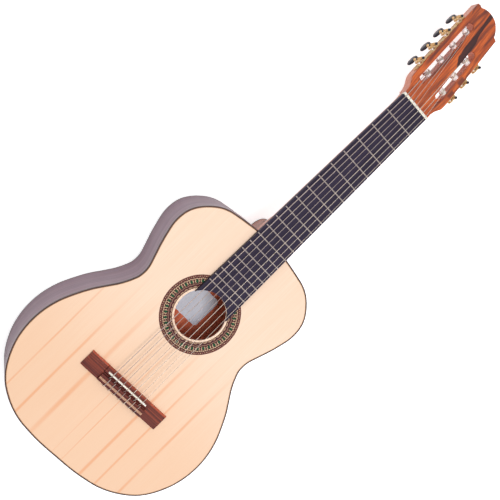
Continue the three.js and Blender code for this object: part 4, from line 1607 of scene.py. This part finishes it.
@dataclass
class Bridge:
    """The bridge with its wings, saddle and tie block. Lengths are in millimetres."""

    finishes: Finishes
    wing_height: float = 5.2
    slope: float = 6.0
    block_half: float = 48.0

    def build(self) -> None:
        """Builds the bridge, the saddle and the inlay."""
        self.wood()
        self.saddle()
        self.inlay()

    def wing_ring(self, x: float, high: float) -> list[Vector]:
        """Cuts a wing at x, with an arched top whose crest is high."""
        low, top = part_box("bridge")
        base = low.z / MM
        front, back = top.y / MM, low.y / MM
        section = [(back, base), (front, base)]
        count = 9
        for i in range(count + 1):
            part = i / count
            arch = high * (0.78 + 0.22 * math.sin(math.pi * part) ** 0.6)
            section.append((front + (back - front) * part, base + arch))
        return [Vector((x, y, z)) * MM for y, z in section]

    def block_ring(self, x: float) -> list[Vector]:
        """Cuts the middle block at x: front slope, saddle bed, valley and tie block."""
        low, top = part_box("bridge")
        base, crest = low.z / MM, top.z / MM
        front, back = top.y / MM, low.y / MM
        saddle = (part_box("saddle")[0].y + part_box("saddle")[1].y) / 2 / MM
        shape = [
            (back, base), (front, base), (front, base + 5.5), (front - 0.8, base + 7.0),
            (front - 2, base + 7.7), (saddle - 3.5, base + 7.7), (saddle - 6, base + 3.1),
            (back + 13.7, base + 3.1), (back + 13.2, crest), (back + 1, crest),
            (back + 0.3, crest - 0.5), (back, crest - 1.5),
        ]
        return [Vector((x, y, z)) * MM for y, z in shape]

    def wood(self) -> None:
        """Cuts the bridge from one piece, with its saddle slot and string holes."""
        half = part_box("bridge")[1].x / MM
        heights = [(half, 2.6), (half - self.slope, self.wing_height), (self.block_half, self.wing_height)]
        rings = [self.wing_ring(x, high) for x, high in heights]
        rings += [self.block_ring(self.block_half), self.block_ring(-self.block_half)]
        rings += [self.wing_ring(-x, high) for x, high in reversed(heights)]
        mesh = loft_mesh("bridge", rings)
        low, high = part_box("saddle")
        slack = Vector((0.1, 0.1, 0.1)) * MM
        cutters = [box_mesh("slot", low - slack, high + slack)]
        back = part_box("bridge")[0].y
        for route in STRING_ROUTES:
            ends = (back - 3 * MM, back + 15.4 * MM)
            line = [Vector((route.bridge_x(), y, STRING_HOLE_Z * MM)) for y in ends]
            cutters.append(loft_mesh("hole", swept_rings(line, 0.9 * MM, 14)))
        mesh = cut_mesh(mesh, joined_mesh("cutters", cutters))
        piece = add_piece("bridge_wood", mesh, self.finishes.bridge, "bridge_rosewood", replaces=["bridge"])
        round_edges(piece, 0.35)

    def saddle(self) -> None:
        """Rounds the top of the bone saddle under the strings."""
        low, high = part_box("saddle")
        middle, half = (low.y + high.y) / 2, (high.y - low.y) / 2
        top = high.z + GAP * MM
        section = [(middle + half, low.z)]
        for i in range(9):
            turn = math.pi * i / 8
            section.append((middle + half * math.cos(turn), top - half * (1 - math.sin(turn)) * 0.8))
        section.append((middle - half, low.z))
        rings = [[Vector((x, y, z)) for y, z in section] for x in (low.x, high.x)]
        mesh = loft_mesh("saddle", rings)
        piece = add_piece("saddle_bone", mesh, self.finishes.bone, "bone", replaces=["saddle"])
        round_edges(piece, 0.25)

    def inlay(self) -> None:
        """Lays the pale strip on the tie block."""
        low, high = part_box("tie_block_inlay")
        mesh = box_mesh("inlay", low - Vector((0, 0, GAP * MM)), high)
        piece = add_piece("tie_block_strip", mesh, self.finishes.inlay, "bone", replaces=["tie_block_inlay"])
        round_edges(piece, 0.25)


# ---------------------------------------------------------------- tuners


@dataclass
class TunerPlate:
    """The gold plate on one side of the head, with its lugs and screws. Lengths are in millimetres."""

    finishes: Finishes
    side: Side
    count: int
    thick: float = 1.2
    waist: float = 4.6
    belly: float = 7.0
    overhang: float = 15.0
    pitch: float = ROLLER_PITCH

    def outline(self, sign: int) -> list[tuple[float, float]]:
        """Draws the plate's waved edge as (y, z)."""
        low, high = -self.overhang, (self.count - 1) * self.pitch + self.overhang
        steps = 30 * self.count
        upper = []
        for i in range(steps + 1):
            y = low + (high - low) * i / steps
            phase = (y - self.pitch * round(y / self.pitch)) / self.pitch
            swell = math.cos(math.pi * phase) ** 2
            scallop = 0.45 * math.cos(6 * math.pi * phase)
            close = min(y - low, high - y)
            taper = math.sqrt(max(1 - max(1 - close / 5, 0) ** 2, 0.0))
            half = (self.waist + (self.belly - self.waist) * swell + scallop) * taper
            upper.append((sign * y, max(half, 0.05)))
        return upper + [(y, -z) for y, z in reversed(upper)]

    def build(self, place: Matrix, sign: int, worm: Vector) -> None:
        """Builds the plate with its bearing lugs and the screws that hold it.

        Args:
            place: The frame of this side, at the first roller's axis.
            sign: 1 where the crown lies up the frame's y axis, else -1.
            worm: Where the first worm's axis is in that frame, in millimetres.
        """
        face = GAP + self.thick
        loop = self.outline(sign)
        sheet = loft_mesh("sheet", [[Vector((x, y, z)) for y, z in loop] for x in (GAP, face)])
        blocks, bores = [], []
        for i in range(self.count):
            y = sign * self.pitch * i
            for from_z, to_z in ((4.7, 6.3), (-6.3, -4.7)):
                blocks.append(self.lug(worm.x, y + worm.y, from_z, to_z, face))
            bores.append(loft_mesh("eye", swept_rings([Vector((-1, y, 0)), Vector((3, y, 0))], 2.6, 24)))
        mesh = in_metres(cut_mesh(joined_mesh("plate", [sheet, *blocks]), joined_mesh("bores", bores)))
        name = f"{self.side.value}_tuner_plate"
        piece = add_piece(f"{name}_gold", mesh, self.finishes.gold, "gold", replaces=[name], place=place)
        round_edges(piece, 0.2)
        screw = self.screw()
        spots = [sign * (self.pitch * (i + 0.5)) for i in range(self.count - 1)]
        spots += [-sign * (self.overhang - 4), sign * ((self.count - 1) * self.pitch + self.overhang - 4)]
        for number, y in enumerate(spots, 1):
            spot = place @ Matrix.Translation(Vector((face, y, 0)) * MM)
            spot = spot @ Matrix.Rotation(math.pi / 2, 4, "Y")
            name = f"{self.side.value}_plate_screw_{number}"
            add_piece(name, screw, self.finishes.gold, "gold", place=spot)

    def lug(self, x: float, y: float, low: float, high: float, face: float) -> bpy.types.Mesh:
        """Makes a bearing post with a round nose, standing on the plate."""
        radius, count = 2.6, 16
        loop = [(face - 0.5, y - radius)]
        for i in range(count + 1):
            turn = -math.pi / 2 + math.pi * i / count
            loop.append((x + radius * math.cos(turn) * 0.98, y + radius * math.sin(turn)))
        loop.append((face - 0.5, y + radius))
        return prism_mesh("lug", [loop], low, high)

    def screw(self) -> bpy.types.Mesh:
        """Makes a small domed screw head with a slot."""
        profile = [(0, -0.2), (1.5, -0.2), (1.5, 0.25), (1.2, 0.6), (0.6, 0.85), (0, 0.9)]
        dome = turned_mesh("screw", profile, 20)
        slot = box_mesh("slot", Vector((-2, -0.2, 0.45)), Vector((2, 0.2, 2)))
        mesh = cut_mesh(dome, slot)
        return in_metres(mesh)


@dataclass
class Tuners:
    """The seven worm-gear tuners. Lengths are in millimetres."""

    finishes: Finishes
    teeth: int = 14
    lead: float = 2.2
    slot_middle: float = -18.0
    button_centre: float = -24.5
    button_half: tuple[float, float, float] = (3.6, 11.1, 8.0)

    def build(self) -> None:
        """Builds the shared meshes once and places each tuner on its joints."""
        self.shapes = {
            "roller": self.roller(), "worm": self.worm(), "ball": self.ball(), "ferrule": self.ferrule(),
            "button": self.button(), "gear_screw": self.gear_screw(), "collar": self.collar(),
        }
        joints = {joint["name"]: joint for joint in frame["joints"]}
        for side in Side:
            sign = side.sign
            routes = [route for route in STRING_ROUTES if route.side is side]
            gear = self.gear(sign)
            for route in routes:
                shaft, roller = (joints[f"{kind}_{route.number}_turn"] for kind in ("button", "roller"))
                place = self.side_place(roller, shaft)
                worm = place.inverted() @ Vector(shaft["pos_m"])
                self.place_tuner(route, place, worm, gear)
                if route.roller == 0:
                    TunerPlate(self.finishes, side, len(routes)).build(place, sign, worm / MM)

    def side_place(self, roller: dict, shaft: dict) -> Matrix:
        """Gives a tuner's frame: origin on the roller's axis, x outwards, z along the worm."""
        out, up = Vector(roller["axis"]).normalized(), Vector(shaft["axis"]).normalized()
        along = up.cross(out)
        origin = Vector(roller["pos_m"])
        rows = [(out[i], along[i], up[i], origin[i]) for i in range(3)]
        return Matrix((*rows, (0, 0, 0, 1)))

    def place_tuner(self, route: StringRoute, place: Matrix, worm: Vector, gear: bpy.types.Mesh) -> None:
        """Places the pieces of one tuner.

        Args:
            route: The string that it tunes.
            place: The tuner's frame.
            worm: Where the worm's axis is in that frame, in metres.
            gear: The gear's mesh for this side.
        """
        number, look, shape = route.number, self.finishes, self.shapes
        shaft, roller = f"tuner_shaft_{number}", f"string_roller_{number}"
        on_roller = place @ Matrix.Rotation(math.pi / 2, 4, "Y")
        at_worm = place @ Matrix.Translation(Vector((worm.x, worm.y, 0)))
        turned = at_worm @ Matrix.Rotation(-route.side.sign * math.pi / 2, 4, "Z")
        for name, mesh, material, slot, body, node, where in (
            ("string_roller", shape["roller"], look.pearl, "pearl", roller, "roller", on_roller),
            ("gear_wheel", gear, look.gold, "gold", roller, "gear", place),
            ("gear_screw", shape["gear_screw"], look.gold, "gold", roller, None, on_roller),
            ("worm", shape["worm"], look.gold, "gold", shaft, "worm_shaft", turned),
            ("front_ball", shape["ball"], look.black, "button_black", shaft, None, at_worm),
            ("ferrule", shape["ferrule"], look.gold, "gold", shaft, None, at_worm),
            ("collar", shape["collar"], look.black, "button_black", shaft, None, at_worm),
            ("tuning_button", shape["button"], look.black, "button_black", shaft, "button", at_worm),
        ):
            replaced = [f"{node}_{number}"] if node else []
            add_piece(f"{name}_{number}", mesh, material, slot, body, replaced, where)
        self.winding(route, place, roller)

    def winding(self, route: StringRoute, place: Matrix, body: str) -> None:
        """Winds the string's end round its roller."""
        sign = route.side.sign
        landing = place.inverted() @ route.head_points()[-1]
        radius = math.hypot(landing.y, landing.z)
        start = math.atan2(landing.z, landing.y)
        turns, steps = 3.0, 28
        drift = route.diameter * 1.05 * MM * (1 if landing.x / MM < self.slot_middle else -1)
        points = []
        for i in range(int(turns * steps) + 1):
            angle = start + sign * 2 * math.pi * i / steps
            x = landing.x + drift * i / steps
            points.append(Vector((x, radius * math.cos(angle), radius * math.sin(angle))))
        mesh = loft_mesh(f"winding_{route.number}", swept_rings(points, route.radius, 10))
        look = self.finishes.of_string(route)
        add_piece(f"string_winding_{route.number}", mesh, *look, body, place=place)

    def roller(self) -> bpy.types.Mesh:
        """Turns the pearl roller with its thin end for the gear; its axis is z, outwards."""
        profile = [
            (0, -29.4), (4.6, -29.4), (5, -29.0), (5, -25.2), (4.85, -25.0), (5, -24.8), (5, -11.2),
            (4.85, -11.0), (5, -10.8), (5, -0.8), (4.7, -0.5), (2.2, -0.5), (2.2, 5.3), (0, 5.3),
        ]
        mesh = turned_mesh("roller", profile, 40)
        return in_metres(mesh)

    def gear(self, sign: int) -> bpy.types.Mesh:
        """Cuts the gear wheel, with a gap between two teeth facing the worm."""
        pitch = 2 * math.pi / self.teeth
        flank = ((0.16, 5.1), (0.24, 4.6), (0.29, 4.25))
        tooth = (*[(-offset, radius) for offset, radius in reversed(flank)], (0.0, 5.18), *flank)
        loop = []
        for i in range(self.teeth):
            for offset, radius in tooth:
                angle = sign * math.pi / 2 + (i + 0.5 + offset) * pitch
                loop.append((radius * math.sin(angle), -radius * math.cos(angle)))
        mesh = loft_mesh("gear", [[Vector((x, y, z)) for y, z in loop] for x in (5.3, 7.5)])
        dish = loft_mesh("dish", swept_rings([Vector((7.1, 0, 0)), Vector((9, 0, 0))], 3.6, 28))
        mesh = cut_mesh(mesh, dish)
        return in_metres(mesh)

    def gear_screw(self) -> bpy.types.Mesh:
        """Makes the slotted screw that holds the gear on the roller."""
        profile = [(0, 6.9), (2.2, 6.9), (2.2, 7.9), (1.7, 8.4), (0.8, 8.65), (0, 8.7)]
        dome = turned_mesh("gear_screw", profile, 24)
        mesh = cut_mesh(dome, box_mesh("slot", Vector((-3, -0.3, 8.1)), Vector((3, 0.3, 9.5))))
        return in_metres(mesh)

    def worm(self) -> bpy.types.Mesh:
        """Turns the shaft and winds a right-handed thread on its core."""
        profile = [
            (0, -21.5), (1.5, -21.5), (1.5, -6.9), (2.3, -6.8), (2.3, -6.45), (1.5, -6.4), (1.5, -3.9),
            (2.1, -3.5), (2.1, 3.5), (1.5, 3.9), (1.5, 6.45), (2.2, 6.5), (2.2, 6.8), (0, 6.8),
        ]
        shaft = turned_mesh("shaft", profile, 28)
        turns, steps = 2.9, 24
        count = int(turns * steps)
        points = []
        for i in range(count + 1):
            turn = (i / count - 0.5) * turns
            angle = 2 * math.pi * turn
            points.append(Vector((2.4 * math.cos(angle), 2.4 * math.sin(angle), self.lead * turn)))

        def fade(i: int) -> float:
            """Thins the thread at both ends."""
            return 0.5 * min(1.0, 0.25 + min(i, count - i) / 8)

        thread = loft_mesh("thread", swept_rings(points, fade, 10))
        mesh = joined_mesh("worm", [shaft, thread])
        return in_metres(mesh)

    def ball(self) -> bpy.types.Mesh:
        """Turns the small black ball at the front end of the shaft."""
        profile = [(0, 6.7), (1.3, 6.7), (1.5, 7.0)]
        turns = [math.pi * (0.22 + 0.78 * i / 14) for i in range(14)]
        profile += [(2.35 * math.sin(turn), 8.65 - 2.1 * math.cos(turn)) for turn in turns]
        profile.append((0, 10.72))
        mesh = turned_mesh("ball", profile, 28)
        return in_metres(mesh)

    def ferrule(self) -> bpy.types.Mesh:
        """Turns the gold collar between the lug and the button."""
        profile = [
            (0, -17.0), (2.8, -17.0), (3.1, -16.4), (2.8, -15.4), (2.1, -13.4), (1.8, -11.4),
            (2.1, -10.2), (2.5, -9.5), (2.3, -9.0), (0, -9.0),
        ]
        mesh = turned_mesh("ferrule", profile, 28)
        return in_metres(mesh)

    def collar(self) -> bpy.types.Mesh:
        """Turns the black bushing outside the lug."""
        profile = [(0, -9.0), (2.8, -9.0), (3.2, -8.6), (3.2, -7.0), (2.8, -6.5), (0, -6.5)]
        mesh = turned_mesh("collar", profile, 28)
        return in_metres(mesh)

    def button(self) -> bpy.types.Mesh:
        """Shapes the oval button: flat cheeks, a soft rim and a slightly drawn-in neck."""
        rows, columns = 20, 40
        thick, wide, high = self.button_half
        rings = []
        for j in range(1, rows):
            lat = math.pi * j / rows - math.pi / 2
            z = high * math.sin(lat) + self.button_centre
            ring = []
            for i in range(columns):
                lon = 2 * math.pi * i / columns
                c, s = math.cos(lon), math.sin(lon)
                x = math.copysign(abs(c) ** 0.8, c) * math.cos(lat) ** 0.75
                y = math.copysign(abs(s) ** 0.95, s) * math.cos(lat) ** 0.8
                dish = 1 - 0.14 * math.exp(-((y / 0.5) ** 2)) * math.cos(lat) ** 2
                ring.append(Vector((thick * x * dish, wide * y, z)) * MM)
            rings.append(ring)
        return loft_mesh("button", rings, angle=60)


# ---------------------------------------------------------------- studio


@dataclass
class Studio:
    """A pale floor, soft lights and the camera."""

    lens: float = 73.94
    floor_size: float = 8.0
    floor_glow: float = 0.6

    def build(self) -> None:
        """Sets the stage."""
        self.camera()
        self.floor()
        self.lights()

    def camera(self) -> None:
        """Hangs the camera over the bass side, with the head to the upper right."""
        data = bpy.data.cameras.new("camera")
        data.lens = self.lens
        data.sensor_width = 36.0
        data.clip_end = 50
        camera = bpy.data.objects.new("camera", data)
        right = Vector((0.6596, 0.7143, 0.2341)).normalized()
        back = Vector((-0.3191, -0.0159, 0.9476)).normalized()
        up = back.cross(right).normalized()
        right = up.cross(back)
        place = Matrix((right, up, back)).transposed().to_4x4()
        place.translation = Vector((-0.5517, 0.1052, 1.6776))
        camera.matrix_world = place
        bpy.context.scene.collection.objects.link(camera)
        bpy.context.scene.camera = camera

    def floor(self) -> None:
        """Lays the floor under the guitar's back."""
        half = self.floor_size / 2
        mesh = box_mesh("floor", Vector((-half, -half, -0.02)), Vector((half, half, 0.0)))
        material, board, shader = new_material("pale_floor", Polish(roughness=0.8))
        cloud = board.noise(board.stretch(board.here(), (1.5, 1.5, 1.5)), 1.0, 3)
        board.feed(shader.inputs["Base Color"], board.mix(cloud, rgb(250, 250, 252), rgb(246, 246, 248)))
        seen = board.add("LightPath").outputs["Is Camera Ray"]
        board.feed(shader.inputs["Emission Color"], board.mix(seen, rgb(0, 0, 0), rgb(255, 255, 255)))
        shader.inputs["Emission Strength"].default_value = self.floor_glow
        mesh.materials.append(material)
        floor = bpy.data.objects.new("floor", mesh)
        bpy.context.scene.collection.objects.link(floor)

    def lights(self) -> None:
        """Hangs soft lights at both sides and overhead in an even white room."""
        world = bpy.data.worlds.new("room")
        world.use_nodes = True
        world.node_tree.nodes["Background"].inputs[0].default_value = (1.0, 1.0, 1.0, 1.0)
        world.node_tree.nodes["Background"].inputs[1].default_value = 0.5
        bpy.context.scene.world = world
        for name, place, size, power in (
            ("key", Vector((-1.6, 1.2, 2.2)), 1.6, 8.0),
            ("fill", Vector((1.8, -1.0, 2.4)), 2.2, 4.0),
            ("overhead", Vector((0.12, 0.1, 2.3)), 0.7, 26.0),
        ):
            data = bpy.data.lights.new(name, "AREA")
            data.size = size
            data.energy = power
            light = bpy.data.objects.new(name, data)
            light.location = place
            light.visible_glossy = name != "overhead"
            light.rotation_euler = (-place).to_track_quat("-Z", "Y").to_euler()
            bpy.context.scene.collection.objects.link(light)
        bpy.context.scene.view_settings.view_transform = "Standard"


def main() -> None:
    """Builds the guitar from the body outwards and reports each piece."""
    logging.basicConfig(level=logging.INFO, format="%(name)s: %(message)s")
    Studio().build()
    finishes = Finishes()
    outline = BodyOutline()
    SoundBox(outline, finishes).build()
    Neck(finishes, outline).build()
    Head(finishes).build()
    Bridge(finishes).build()
    Strings(finishes).build()
    Tuners(finishes).build()


if __name__ == "__main__":
    main()
